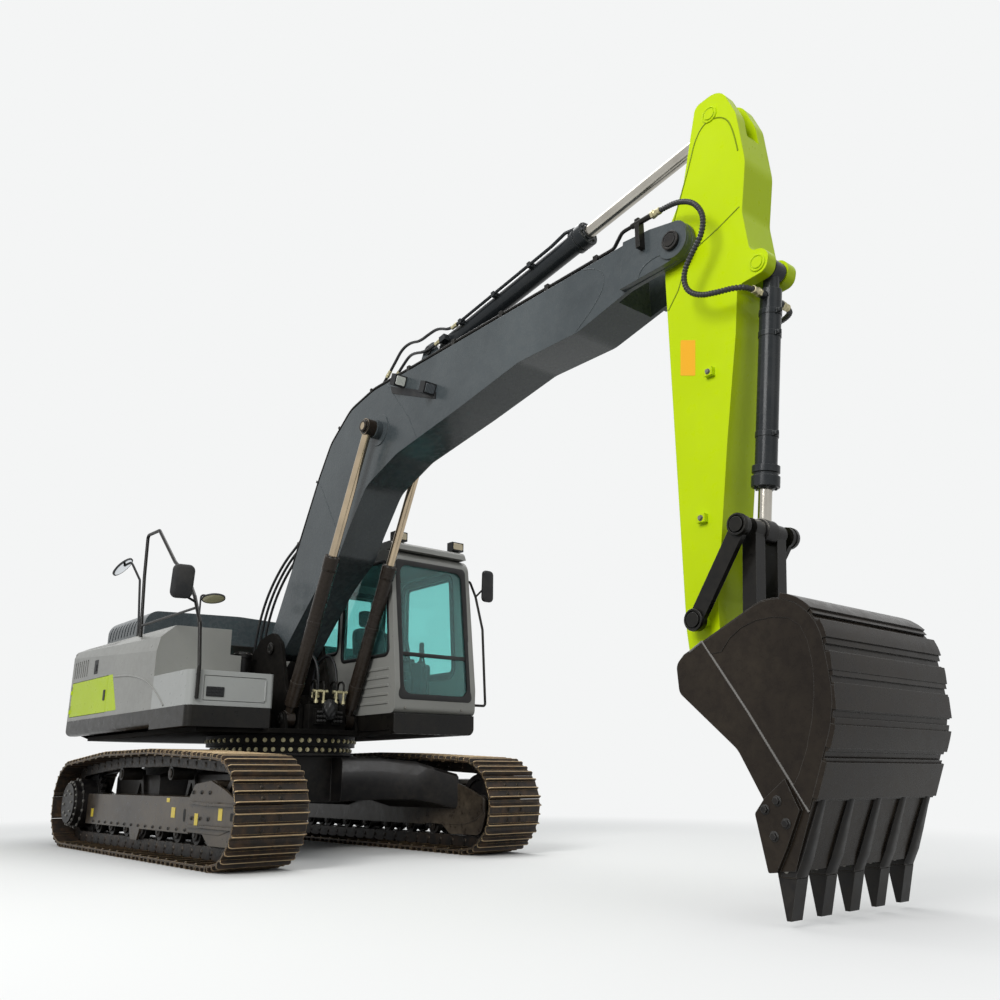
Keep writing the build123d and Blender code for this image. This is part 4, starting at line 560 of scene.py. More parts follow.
# a piece of the machine; places gives each face's material where there are two
def makePiece(name, shape, material, body, replaces=(), smoothDegrees=38.0, places=None, second=None):
    points, faces = shape
    mesh = bpy.data.meshes.new(name)
    mesh.from_pydata(np.asarray(points).tolist(), [], faces)
    if places is not None:
        mesh.polygons.foreach_set("material_index", np.asarray(places, dtype=np.int32))
    work = bmesh.new()
    work.from_mesh(mesh)
    bmesh.ops.remove_doubles(work, verts=work.verts, dist=0.00001)
    bmesh.ops.recalc_face_normals(work, faces=work.faces)
    work.to_mesh(mesh)
    work.free()
    mesh.polygons.foreach_set("use_smooth", np.ones(len(mesh.polygons), bool))
    mesh.set_sharp_from_angle(angle=math.radians(smoothDegrees))
    mesh.materials.append(material)
    if second:
        mesh.materials.append(second)
    piece = bpy.data.objects.new(name, mesh)
    scene.collection.objects.link(piece)
    if body:
        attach(piece, body)
    if replaces:
        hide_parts(*replaces)
    return piece


# hoses: each follows a smooth curve through its route, from one fitting to the other
foot = ((-0.43, 1.5603), (-0.43, 1.82), (-0.405, 2.03), (-0.34, 2.26), (-0.215, 2.49), (-0.03, 2.69),
        (0.17, 2.84), (0.345, 2.925), (0.50312, 3.00875), (0.60302, 3.1897))
armUpper = ((1.8902, -0.115, 4.3302), (2.0181, -0.115, 4.434), (2.13, -0.115, 4.535), (2.275, -0.115, 4.552),
            (2.425, -0.118, 4.505), (2.57, -0.118, 4.524), (2.71, -0.118, 4.528), (2.8824, -0.118, 4.4443),
            (2.9808, -0.118, 4.4603))
armLower = ((1.9602, -0.065, 4.3182), (2.0792, -0.065, 4.4006), (2.225, -0.092, 4.44), (2.37, -0.128, 4.405),
            (2.51, -0.128, 4.362), (2.6585, -0.128, 4.3694), (2.752, -0.128, 4.3846))
nose = ((5.3253, -0.285, 4.281), (5.44, -0.285, 4.281), (5.57, -0.308, 4.25), (5.7, -0.322, 4.17),
        (5.766, -0.322, 4.045), (5.742, -0.322, 3.915), (5.65, -0.322, 3.815), (5.578, -0.322, 3.71),
        (5.59, -0.322, 3.59), (5.685, -0.322, 3.51), (5.81, -0.318, 3.48), (5.925, -0.28, 3.48),
        (5.978, -0.215, 3.48), (5.978, -0.1123, 3.48))
valve = ((0.8, 1.4003), (0.8, 1.56), (0.77, 1.71), (0.67, 1.822), (0.53, 1.83), (0.395, 1.75), (0.33, 1.61),
         (0.33, 1.4203))


def atSide(route, y):
    return [(x, y, z) for x, z in route]


hoses = {
    "footHoseA": {"node": "foot_hose_a", "route": atSide(foot, -0.165), "length": 2.06,
                  "bend": ("upper", "boom")},
    "footHoseB": {"node": "foot_hose_b", "route": atSide(foot, -0.115), "length": 2.06,
                  "bend": ("upper", "boom")},
    "footHoseC": {"node": "foot_hose_c", "route": atSide(foot, -0.065), "length": 2.06,
                  "bend": ("upper", "boom")},
    "footHoseD": {"node": "foot_hose_d", "route": atSide(foot, 0.165), "length": 2.06,
                  "bend": ("upper", "boom")},
    "armHoseUpper": {"node": "arm_hose_upper", "route": armUpper, "length": 1.18,
                     "bend": ("boom", "arm_barrel")},
    "armHoseLower": {"node": "arm_hose_lower", "route": armLower, "length": 0.83,
                     "bend": ("boom", "arm_barrel")},
    "noseHoseRight": {"node": "nose_hose_right", "route": nose, "length": 1.585, "bend": ("boom", "arm")},
    "noseHoseLeft": {"node": "nose_hose_left", "route": [(x, -y, z) for x, y, z in nose], "length": 1.585,
                     "bend": ("boom", "arm")},
    "valveHoseRight": {"node": "valve_hose_right", "route": atSide(valve, -0.07), "length": 1.08,
                       "bend": None},
    "valveHoseLeft": {"node": "valve_hose_left", "route": atSide(valve, 0.13), "length": 1.08, "bend": None},
}
hoseSetup = {
    "radius": 0.014,
    "guardRadius": 0.019,       # over the spiral guard on the nose hoses
    "guardPitch": 0.021,        # real guards are wound closer, drawn coarser so that they show
    "guardDepth": 0.0055,
}


# the smooth line of a hose: a NURBS curve of order 3 whose control points are its route
def hoseLine(name, route):
    curve = bpy.data.curves.new(name, "CURVE")
    curve.dimensions = "3D"
    spline = curve.splines.new("NURBS")
    route = np.array(route)
    spline.points.add(len(route) - 1)
    spline.points.foreach_set("co", np.column_stack([route, np.ones(len(route))]).ravel())
    spline.order_u = 3
    spline.use_endpoint_u = True
    spline.resolution_u = 12
    guide = bpy.data.objects.new(name, curve)
    line = bpy.data.meshes.new_from_object(guide)
    points = np.zeros(len(line.vertices) * 3)
    line.vertices.foreach_get("co", points)
    bpy.data.meshes.remove(line)
    bpy.data.objects.remove(guide)
    bpy.data.curves.remove(curve)
    return points.reshape(-1, 3)


# a hose is a circle carried along its line; the guard's ridges are a wave of the distance along it
def makeHose(name, hose):
    guarded = name.startswith("nose")
    side = 1.0 if name.endswith("Left") and guarded else -1.0
    sideways = (0.5, side * 0.5, 0.7) if guarded else (0.0, 1.0, 0.0)
    line = evenly(hoseLine(name + "Line", hose["route"]), 0.0021 if guarded else 0.012)
    along = np.concatenate([[0.0], np.cumsum(np.linalg.norm(np.diff(line, axis=0), axis=1))])
    if guarded:
        wave = 0.5 + 0.5 * np.cos(2 * np.pi * along / hoseSetup["guardPitch"])
        radius = hoseSetup["guardRadius"] - hoseSetup["guardDepth"] * (1.0 - np.sqrt(wave))
    else:
        radius = np.full(len(line), hoseSetup["radius"])
    bend = hose["bend"]
    piece = makePiece(name, carried(line, circleProfile(radius, 14), sideways), hoseRubber,
                      None if bend else "upper", (hose["node"],), 80.0)
    if bend:
        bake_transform(piece)
    print(name, "length", round(float(along[-1]), 3))


# hose end: a swaged sleeve, a collar and a nut, turned round the first or last run of the route
fittingSetup = {"sleeve": 1.28, "nut": 1.55, "collar": 1.4, "length": 0.075}


def hoseEnd(place, toward, radius):
    length = fittingSetup["length"]
    sleeve = radius * fittingSetup["sleeve"]
    collar = radius * fittingSetup["collar"]
    rows = [(0.30 * length, radius), (0.32 * length, collar), (0.42 * length, collar),
            (0.46 * length, sleeve), (0.60 * length, sleeve * 0.95), (0.64 * length, sleeve),
            (0.78 * length, sleeve * 0.95), (0.82 * length, sleeve), (0.96 * length, sleeve * 0.96),
            (length, radius)]
    direction = np.asarray(toward, float) - np.asarray(place, float)
    nut = turned([(0.0, radius * 1.2), (0.02 * length, radius * fittingSetup["nut"]),
                  (0.28 * length, radius * fittingSetup["nut"]), (0.30 * length, radius * 1.2)], place,
                 direction, 6)
    return together([turned(rows, place, direction, 20, hollow=True), nut])


for name, hose in hoses.items():
    makeHose(name, hose)
# the bodies that carry each group's first and last hose ends
endBodies = {"foot": ("upper", "boom"), "arm": ("boom", "arm_barrel"), "nose": ("boom", "bucket_barrel"),
             "valve": ("upper", "upper")}
endShapes = {}
for name, hose in hoses.items():
    group = name.partition("Hose")[0]
    radius = hoseSetup["guardRadius"] if group == "nose" else hoseSetup["radius"]
    first, last = endBodies[group]
    route = hose["route"]
    endShapes.setdefault(first, []).append(hoseEnd(route[0], route[1], radius))
    endShapes.setdefault(last, []).append(hoseEnd(route[-1], route[-2], radius))
for body, shapes in endShapes.items():
    makePiece("hoseEnds_" + body, together(shapes), fittingSteel, body)
print("hoses made")

# tracks: shoes with three grousers, laid along the loop of the pins
trackLoop = {
    "centreY": 1.19,
    "tumblerX": 1.825,
    "pinRadius": 0.32,
    "carriers": ((-0.79, 0.815), (0.45, 0.815)),
    "shoeCount": 49,
    "shoeHalf": 0.3,
    "grouser": 0.105,           # height of a grouser's tip outside the pins
}
# section of a shoe: share of the pitch along it, height outside the pins. Its rear edge tucks under the next
shoeSection = np.array([
    (0.012, 0.070), (0.028, 0.078), (0.046, 0.103), (0.054, 0.105), (0.082, 0.105), (0.090, 0.103),
    (0.106, 0.079), (0.125, 0.074), (0.435, 0.074), (0.455, 0.079), (0.477, 0.103), (0.485, 0.105),
    (0.515, 0.105), (0.523, 0.103), (0.545, 0.079), (0.565, 0.074), (0.865, 0.074), (0.885, 0.079),
    (0.907, 0.103), (0.915, 0.105), (0.945, 0.105), (0.953, 0.103), (0.968, 0.078), (0.995, 0.069),
    (1.060, 0.058), (1.180, 0.055), (1.180, 0.046), (1.040, 0.047), (0.960, 0.060), (0.120, 0.060),
    (0.012, 0.062),
])
# side view of a link, in the same terms: straight under the shoe, drawn in round the pins, flat underneath
linkSection = np.array([
    (-0.17, 0.000), (-0.12, 0.028), (0.02, 0.040), (0.14, 0.058), (0.84, 0.058), (0.90, 0.030), (0.86, 0.000),
    (0.90, -0.030), (1.02, -0.0448), (0.10, -0.0448), (-0.12, -0.030),
])


# corners of the pins' loop: along the ground, round the idler, over both carriers and round the sprocket.
# A tumbler's arc ends where a line to the carrier touches its circle, which is the angle of the line to the
# middle plus or minus acos(radius / distance)
def pinLoop(setup):
    centre = np.array([setup["tumblerX"], setup["pinRadius"] + setup["grouser"]])

    def touching(middle, carrier, side):
        away = np.asarray(carrier) - middle
        return math.atan2(away[1], away[0]) + side * math.acos(setup["pinRadius"] / np.linalg.norm(away))

    rearCentre = centre * (-1, 1)
    frontEnd = touching(centre, setup["carriers"][1], -1)
    rearStart = touching(rearCentre, setup["carriers"][0], 1)
    front = np.linspace(-np.pi / 2, frontEnd, 300)
    rear = np.linspace(rearStart, 1.5 * np.pi, 300)
    return np.concatenate([
        [(-setup["tumblerX"], setup["grouser"])],
        centre + setup["pinRadius"] * np.column_stack([np.cos(front), np.sin(front)]),
        np.array(setup["carriers"])[::-1],
        rearCentre + setup["pinRadius"] * np.column_stack([np.cos(rear), np.sin(rear)]),
    ])


loopCorners = pinLoop(trackLoop)
loopLength = np.concatenate([[0.0], np.cumsum(np.linalg.norm(np.diff(loopCorners, axis=0), axis=1))])
pinPlaces = loopLength[-1] * np.arange(trackLoop["shoeCount"]) / trackLoop["shoeCount"]
pins = np.column_stack([np.interp(pinPlaces, loopLength, loopCorners[:, k]) for k in (0, 1)])
steps = np.roll(pins, -1, axis=0) - pins
ways = unit(steps)
pitch = float(np.linalg.norm(steps, axis=1).mean())


# three axes at each shoe, as columns: along the pitch at its own length, across the machine, and outwards
def shoeAxes():
    zero = np.zeros(len(pins))
    along = np.column_stack([steps[:, 0], zero, steps[:, 1]])
    across = np.column_stack([zero, zero + 1.0, zero])
    outward = np.column_stack([ways[:, 1], zero, -ways[:, 0]])
    return np.stack([along, across, outward], axis=2)


trackAxes = shoeAxes()
for sideName, side in (("Left", 1.0), ("Right", -1.0)):
    middle = side * trackLoop["centreY"]
    half = trackLoop["shoeHalf"]
    places = np.column_stack([pins[:, 0], np.full(len(pins), middle), pins[:, 1]])
    lowEnds = np.column_stack([shoeSection[:, 0], np.minimum(shoeSection[:, 1], 0.094)])
    shoe = skinned(np.array([onPlane(lowEnds, -half, "y"), onPlane(shoeSection, 0.018 - half, "y"),
                             onPlane(shoeSection, half - 0.018, "y"), onPlane(lowEnds, half, "y")]))
    height = shoeSection[:, 1]
    tips = np.tile((height > 0.102) & (np.roll(height, -1) > 0.102), 3)
    tips = np.tile(np.concatenate([tips, [False, False]]), len(pins))
    makePiece("trackShoes" + sideName, stamped(shoe, places, trackAxes), shoeSteel, "undercarriage",
              ("track_" + sideName.lower(),), 30.0, tips, tipSteel)
    links = []
    for low, high in ((-0.091, -0.051), (0.051, 0.091)):
        links.append(skinned(np.array([onPlane(linkSection, low, "y"), onPlane(linkSection, high, "y")])))
    pin = turned([(-0.096, 0.016), (-0.094, 0.019), (-0.05, 0.019), (-0.049, 0.03), (0.049, 0.03),
                  (0.05, 0.019), (0.094, 0.019), (0.096, 0.016)], (0, 0, 0), (0, 1, 0), 14)
    pin = (pin[0] * (1.0 / pitch, 1.0, 1.0), pin[1])
    makePiece("trackLinks" + sideName, stamped(together(links + [pin]), places, trackAxes), linkSteel,
              "undercarriage")
    head = boltHead(0.026, 0.013)
    head = (head[0] * (1.0 / pitch, 1.0, 1.0), head[1])
    heads = [(head[0] + (share, y, 0.073), head[1]) for share in (0.26, 0.72) for y in (-0.071, 0.071)]
    makePiece("trackBolts" + sideName, stamped(together(heads), places, trackAxes), linkSteel,
              "undercarriage")
print("tracks made")

# slewing ring: two rows of bolt heads, in pairs, round its faces
ringBolts = {"lower": {"radius": 0.69, "z": 0.925, "body": "undercarriage"},
             "upper": {"radius": 0.73, "z": 1.01, "body": "upper"}}
for name, row in ringBolts.items():
    index = np.arange(54)
    angle = (index // 2 * 2 + 0.5 + (index % 2 - 0.5) * 0.9) * 2 * np.pi / 54
    outward = np.column_stack([np.cos(angle), np.sin(angle), np.zeros(len(angle))])
    places = outward * row["radius"] + (0, 0, row["z"])
    makePiece("ringBolts_" + name, boltsAt(places, outward, 0.028, 0.013), fittingSteel, row["body"])

# undercarriage: bolts and hubs that show between the tracks' runs
runningGear = {
    "rollerX": (-1.27, -0.88, -0.48, -0.08, 0.32, 0.72, 1.11),
    "rollerZ": 0.2283,
    "rollerFace": 0.105,        # from the track's middle to the roller's flat side
    "carrierX": (-0.79, 0.45),
    "carrierZ": 0.7117,
    "carrierFace": 0.095,
    "tumblerZ": 0.425,
    # rings of bolts: radius, count, the face's distance from the track's middle, size across a head
    "driveRings": ((0.235, 16, 0.174, 0.026), (0.208, 20, 0.235, 0.02), (0.12, 8, 0.258, 0.022)),
    "idlerRing": (0.07, 6, 0.095, 0.018),
}
shapes = []
for side in (-1.0, 1.0):
    middle = side * trackLoop["centreY"]
    for x in runningGear["rollerX"]:
        for outer in (-1.0, 1.0):
            face = (x, middle + outer * runningGear["rollerFace"], runningGear["rollerZ"])
            shapes.append(turned([(-0.002, 0.05), (0.006, 0.05), (0.010, 0.042), (0.010, 0.022),
                                  (0.018, 0.02), (0.018, 0.001)], face, (0, outer, 0), 20))
    for x in runningGear["carrierX"]:
        face = (x, side * (trackLoop["centreY"] + runningGear["carrierFace"]), runningGear["carrierZ"])
        shapes.append(turned([(-0.002, 0.04), (0.008, 0.04), (0.012, 0.03), (0.012, 0.001)], face,
                             (0, side, 0), 20))
makePiece("rollerCaps", together(shapes), linkSteel, "undercarriage")


# bolts in a ring on a tumbler's face, the first one a little turned
def boltRing(side, x, ring, start, height):
    radius, count, face, across = ring
    angle = np.arange(count) * 2 * np.pi / count + start
    places = np.column_stack([x + radius * np.cos(angle),
                              np.full(count, side * (trackLoop["centreY"] + face)),
                              runningGear["tumblerZ"] + radius * np.sin(angle)])
    return boltsAt(places, (0, side, 0), across, height)


shapes = []
for side in (-1.0, 1.0):
    for ring in runningGear["driveRings"]:
        shapes.append(boltRing(side, -trackLoop["tumblerX"], ring, 0.1, 0.011))
    shapes.append(boltRing(side, trackLoop["tumblerX"], runningGear["idlerRing"], 0.0, 0.008))
makePiece("driveBolts", together(shapes), boltSteel, "undercarriage")

# cheek plates beside each idler with a cover between them, tags, slots drawn as thin black patches that paint
# the shade inside the side frames' holes, and bolts on the side frames. A tag is its middle (X, Z) and half
# sizes, and a slot has its corners' radius as well
guardSetup = {
    "cheek": ((1.0, 0.245), (1.0, 0.52), (1.10, 0.625), (1.40, 0.652), (1.66, 0.585), (1.93, 0.49),
              (1.93, 0.36), (1.80, 0.285), (1.62, 0.245)),
    "radii": (0.01, 0.01, 0.05, 0.08, 0.10, 0.03, 0.04, 0.08, 0.05),
    "cover": ((1.0, 0.50), (1.0, 0.53), (1.10, 0.63), (1.40, 0.655), (1.46, 0.643), (1.46, 0.60),
              (1.10, 0.60)),
    "cheekSides": (-0.137, 0.113),
    "cheekThick": 0.024,
    "coverHalf": 0.113,
    "frameFace": 1.3225,        # the side frame's outer face
    "yokeFace": 1.3275,         # the idler yoke's outer face
    "tags": ((-1.402, 0.341, 0.034, 0.040), (0.678, 0.392, 0.042, 0.042), (1.173, 0.350, 0.034, 0.048),
             (1.621, 0.400, 0.036, 0.046), (0.55, 0.49, 0.034, 0.018)),
    "slots": ((0.918, 0.377, 0.024, 0.052, 0.023), (1.829, 0.385, 0.030, 0.030, 0.010)),
}
cheekOutline = roundedCorners(guardSetup["cheek"], guardSetup["radii"])
coverOutline = roundedCorners(guardSetup["cover"], 0.01)
shapes = []
tags = []
slots = []
heads = []
for side in (-1.0, 1.0):
    middle = side * trackLoop["centreY"]
    for low in guardSetup["cheekSides"]:
        shapes.append(slab(cheekOutline, middle + low, middle + low + guardSetup["cheekThick"], "y", 0.003))
    shapes.append(slab(coverOutline, middle - guardSetup["coverHalf"], middle + guardSetup["coverHalf"], "y",
                       0.002))
    outer = side * (trackLoop["centreY"] - guardSetup["cheekSides"][0])
    for z in (0.300, 0.470):
        rib = roundedBox((1.60, z), (0.30, 0.012), 0.005)
        shapes.append(slab(rib, *sorted((outer, outer + side * 0.028)), "y", 0.003))
    for x, z, halfX, halfZ in guardSetup["tags"]:
        face = side * guardSetup["frameFace" if x < 1.0 else "yokeFace"]
        tag = roundedBox((x, z), (halfX, halfZ), 0.004)
        tags.append(slab(tag, *sorted((face, face + side * 0.002)), "y", 0.0005))
    # each slot is a thin black patch on the face: painted shade where the hole's inside would be
    for x, z, halfX, halfZ, radius in guardSetup["slots"]:
        face = side * guardSetup["frameFace" if x < 1.0 else "yokeFace"]
        hole = roundedBox((x, z), (halfX, halfZ), radius)
        slots.append(slab(hole, *sorted((face, face + side * 0.001)), "y", 0.0003))
    guardBolts = [(x, outer, z) for x in (1.08, 1.24, 1.40) for z in (0.36, 0.56)]
    frameBolts = [(x, side * guardSetup["frameFace"], 0.262) for x in np.linspace(-1.35, 0.95, 14)]
    heads.append(boltsAt(guardBolts, (0, side, 0), 0.026, 0.012))
    heads.append(boltsAt(frameBolts, (0, side, 0), 0.02, 0.010))
makePiece("idlerGuards", together(shapes), frameEnamel, "undercarriage")
makePiece("frameTags", together(tags), tagEnamel, "undercarriage")
makePiece("frameSlots", together(slots), ringEnamel, "undercarriage")
makePiece("frameBolts", together(heads), castEnamel, "undercarriage")


# car body: an eight-sided box under the ring, and four legs. A leg is a chamfered rectangle carried outwards
# through rows of (y, x from, x to, z from, z to): it stays high to its knee and then falls to the side frame
carBodySetup = {
    "legRows": ((0.26, 0.06, 0.76, 0.45, 0.855), (0.55, 0.17, 1.03, 0.47, 0.845),
                (0.78, 0.27, 1.26, 0.47, 0.815), (0.90, 0.32, 1.40, 0.44, 0.760),
                (1.0585, 0.37, 1.55, 0.385, 0.700)),
    "chamfer": 0.03,
}


def carLeg(sideX, sideY):
    rings = []
    for y, x0, x1, z0, z1 in carBodySetup["legRows"]:
        c = carBodySetup["chamfer"]
        ring = np.array([(x0, z0 + c), (x0 + c, z0), (x1 - c, z0), (x1, z0 + c), (x1, z1 - c), (x1 - c, z1),
                         (x0 + c, z1), (x0, z1 - c)]) * (sideX, 1.0)
        rings.append(onPlane(ring, sideY * y, "y"))
    return skinned(np.array(rings))


bodyBox = np.array([(0.56, 0.38), (0.32, 0.62), (-0.32, 0.62), (-0.56, 0.38), (-0.56, -0.38), (-0.32, -0.62),
                    (0.32, -0.62), (0.56, -0.38)])
shapes = [carLeg(sideX, sideY) for sideX in (-1.0, 1.0) for sideY in (-1.0, 1.0)]
shapes.append(slab(bodyBox, 0.44, 0.875, "z", 0.01))
shapes.append(turned([(-0.02, 0.52), (-0.02, 0.716), (-0.016, 0.72), (-0.002, 0.72), (0.0, 0.716),
                      (0.0, 0.52)], (0, 0, 0.89), (0, 0, 1), 96))
makePiece("carBody", together(shapes), castEnamel, "undercarriage", ("centre_frame",))
print("undercarriage made")


# cab windows: a rubber strip round each, its outer lip on the sheet and its inner lip on the pane
sealSetup = {"lap": 0.016, "inside": 0.020, "proud": 0.008, "paneDepth": 0.014}
sealProfile = ((-sealSetup["lap"], -0.001), (-sealSetup["lap"], 0.004), (-0.010, sealSetup["proud"]),
               (0.008, sealSetup["proud"]), (sealSetup["inside"], 0.001),
               (sealSetup["inside"], -sealSetup["paneDepth"]), (0.0, -sealSetup["paneDepth"]), (0.0, -0.001))
cabSides = {"right": 0.4, "left": 1.365}


# the cab's front and rear walls lean: X at a height, from the two runs of the side outline
def frontX(z):
    return 1.416 - np.maximum(z - 1.5, 0.0) * (0.141 / 1.36) - np.maximum(1.5 - z, 0.0) * 0.04


def rearX(z):
    return -0.4 + np.maximum(z - 2.0, 0.0) * (0.06 / 0.86)


def onRight(flat, depth):
    return onPlane(flat, cabSides["right"] - depth, "y")


def onLeft(flat, depth):
    return onPlane(flat, cabSides["left"] + depth, "y")


def onFront(flat, depth):
    return np.stack([frontX(flat[..., 1]) + depth, flat[..., 0], flat[..., 1]], axis=-1)


def onRear(flat, depth):
    return np.stack([rearX(flat[..., 1]) - depth, flat[..., 0], flat[..., 1]], axis=-1)


rightWindow = roundedCorners([(1.29, 1.8), (1.2, 2.74), (0.42, 2.74), (0.42, 1.8)], (0.06, 0.08, 0.06, 0.06))
rearSideWindow = roundedCorners([(0.34, 1.9), (0.34, 2.74), (-0.25, 2.74), (-0.29, 1.9)], 0.06)
leftRearWindow = roundedCorners([(0.02, 1.9), (0.02, 2.74), (-0.25, 2.74), (-0.29, 1.9)], 0.06)
doorWindow = roundedCorners([(1.09, 1.7), (1.02, 2.7), (0.2, 2.7), (0.2, 1.7)], 0.06)
frontWindow = roundedCorners([(0.455, 1.39), (1.305, 1.39), (1.305, 2.74), (0.455, 2.74)], 0.035, steps=8)
rearWindow = roundedCorners([(0.52, 1.9), (1.245, 1.9), (1.245, 2.65), (0.52, 2.65)], 0.04)
frontInner = roundedCorners([(0.497, 1.432), (1.263, 1.432), (1.263, 2.698), (0.497, 2.698)], 0.085, steps=8)


# windscreen seal: its outer line follows the opening, and its inner line has rounder corners
def windscreenSeal():
    rings = [onFront(drawnIn(frontWindow, -0.012), -0.001), onFront(drawnIn(frontWindow, -0.012), 0.003),
             onFront(drawnIn(frontWindow, -0.006), 0.006), onFront(drawnIn(frontInner, -0.008), 0.006),
             onFront(frontInner, 0.001), onFront(frontInner, -0.014), onFront(frontWindow, -0.014),
             onFront(frontWindow, -0.001)]
    return skinned(np.array(rings), wrapped=True)


strips = [
    openingStrip(rightWindow, sealProfile, onRight), openingStrip(rearSideWindow, sealProfile, onRight),
    openingStrip(leftRearWindow, sealProfile, onLeft), windscreenSeal(),
    openingStrip(rearWindow, sealProfile, onRear),
]
barOutline = roundedBox((0.88, 1.81), (0.41, 0.019), 0.006)
barRings = [onFront(drawnIn(barOutline, inset), depth)
            for inset, depth in ((0.002, -0.022), (0.0, -0.020), (0.0, -0.004), (0.002, -0.002))]
strips.append(skinned(np.array(barRings)))
makePiece("cabSeals", together(strips), sealRubber, "upper", smoothDegrees=50.0)
makePiece("doorSeal", openingStrip(doorWindow, sealProfile, onLeft), sealRubber, "cab_door_body",
          smoothDegrees=50.0)

# lining inside the cab: dark trim round the windows, under the roof and behind the seat
liningProfile = ((-0.06, -0.0455), (-0.06, -0.058), (-0.004, -0.058), (-0.004, -0.0455))
linings = [openingStrip(rightWindow, liningProfile, onRight),
           openingStrip(rearSideWindow, liningProfile, onRight),
           openingStrip(rearWindow, liningProfile, onRear),
           slab(roundedBox((0.43, 0.8825), (0.74, 0.425), 0.05), 2.795, 2.814, "z", 0.004)]
for y in (0.462, 1.298):
    post = [(1.352, y, 1.50), (1.24, y, 2.78)]
    linings.append(carried(post, circleProfile(0.013, 8) * (1.0, 1.6), (0, 1, 0)))
makePiece("cabLining", together(linings), blackPlastic, "upper", smoothDegrees=50.0)
makePiece("doorLining", openingStrip(doorWindow, liningProfile, onLeft), blackPlastic, "cab_door_body",
          smoothDegrees=50.0)

# door handle on the cab's door; bolts at the foot of the front wall
handleOutline = roundedBox((1.115, 1.55), (0.05, 0.022), 0.012)
gripPath = roundedCorners([(1.075, 1.368, 1.55), (1.085, 1.388, 1.55), (1.145, 1.388, 1.55),
                           (1.155, 1.368, 1.55)], 0.008, closed=False)
makePiece("doorHandle", together([slab(handleOutline, 1.364, 1.372, "y"),
                                  carried(gripPath, circleProfile(0.007, 10), (0, 0, 1))]), blackPlastic,
          "cab_door_body")
makePiece("cabBolts", boltsAt([(1.4075, 0.524, 1.3), (1.4075, 1.196, 1.3)], (1, 0, 0), 0.022, 0.010),
          boltSteel, "upper")


# seat: crowned cushions. A point is the middle plus half sizes times powers of the cosines and sines of two
# angles; a power under 1 squares the form, and the sewn channels are shallow waves across it
seatSetup = {
    "pan": {"middle": (0.465, 0.89, 1.688), "half": (0.255, 0.215, 0.058), "channels": 3, "lean": 0.0},
    "back": {"middle": (0.205, 0.89, 1.985), "half": (0.068, 0.21, 0.235), "channels": 4, "lean": -0.16},
    "head": {"middle": (0.165, 0.89, 2.325), "half": (0.05, 0.13, 0.09), "channels": 1, "lean": -0.1},
}


def cushion(setup, around=64, rows=40, square=0.35):
    turn = np.linspace(-np.pi, np.pi, around, endpoint=False)[None, :]
    rise = np.linspace(-np.pi / 2, np.pi / 2, rows)[:, None]

    def powered(value):
        return np.sign(value) * np.abs(value) ** square

    flat = np.stack([powered(np.cos(rise)) * powered(np.cos(turn)),
                     powered(np.cos(rise)) * powered(np.sin(turn)),
                     powered(np.sin(rise)) * np.ones_like(turn)], axis=-1)
    half = np.asarray(setup["half"])
    thin = int(np.argmin(half))
    wide = [k for k in (0, 1, 2) if k != thin]
    crown = 1.0 - 0.22 * (flat[..., wide[0]] ** 2 + flat[..., wide[1]] ** 2) / 2
    channel = 1.0 - 0.06 * (0.5 + 0.5 * np.cos(2 * np.pi * setup["channels"] * flat[..., 1])) ** 6
    flat[..., thin] *= crown * channel
    points = np.asarray(setup["middle"]) + flat * half
    points[..., 0] += setup["lean"] * (points[..., 2] - setup["middle"][2])
    return skinned(points)


for name, setup in seatSetup.items():
    replaced = ("seat",) if name == "pan" else ()
    piece = makePiece("seat_" + name, cushion(setup), seatCloth, "upper", replaced, 60.0)
stem = slab(roundedBox((0.42, 0.89), (0.15, 0.14), 0.03), 1.296, 1.63, "z", 0.006)
pillar = slab(roundedBox((0.17, 0.89), (0.02, 0.06), 0.01), 2.2, 2.3, "z", 0.004)
makePiece("seatBase", together([stem, pillar]), blackPlastic, "upper")

# controls: joysticks with boots, travel levers, pedals and the display
controls = []
for y in (0.575, 1.205):
    controls.append(turned([(0.0, 0.045), (0.012, 0.043), (0.018, 0.034), (0.026, 0.036), (0.032, 0.026),
                            (0.040, 0.028), (0.046, 0.016), (0.12, 0.011), (0.13, 0.02), (0.16, 0.026),
                            (0.21, 0.025), (0.235, 0.018), (0.24, 0.006), (0.24, 0.0001)],
                           (0.68, y, 1.81), (0.12, 0, 1), 20))
for y in (0.80, 0.98):
    lever = roundedCorners([(1.12, y, 1.30), (1.12, y, 1.6), (1.02, y, 1.92)], 0.06, closed=False)
    controls.append(carried(lever, circleProfile(0.011, 10), (0, 1, 0)))
    controls.append(turned([(0.0, 0.012), (0.01, 0.02), (0.10, 0.02), (0.115, 0.012), (0.115, 0.0001)],
                           (1.035, y, 1.88), (-0.3, 0, 1), 16))
    controls.append(slab(roundedBox((1.17, y), (0.07, 0.045), 0.012), 1.31, 1.325, "z"))
armRests = [slab(roundedBox((0.40, y), (0.15, 0.035), 0.03), 1.845, 1.885, "z", 0.008)
            for y in (0.575, 1.205)]
makePiece("cabControls", together(controls + armRests), blackPlastic, "upper")
display = slab(roundedBox((0.50, 1.93), (0.035, 0.095), 0.012), 1.10, 1.135, "x", 0.004)
stand = carried([(1.12, 0.49, 1.55), (1.12, 0.49, 1.86)], circleProfile(0.012, 10), (0, 1, 0))
makePiece("displayCase", together([display, stand]), blackPlastic, "upper")
makePiece("displayFace", slab(roundedBox((0.50, 1.93), (0.028, 0.08), 0.006), 1.0975, 1.1015, "x", 0.001),
          screenGlass, "upper")
print("cab made")

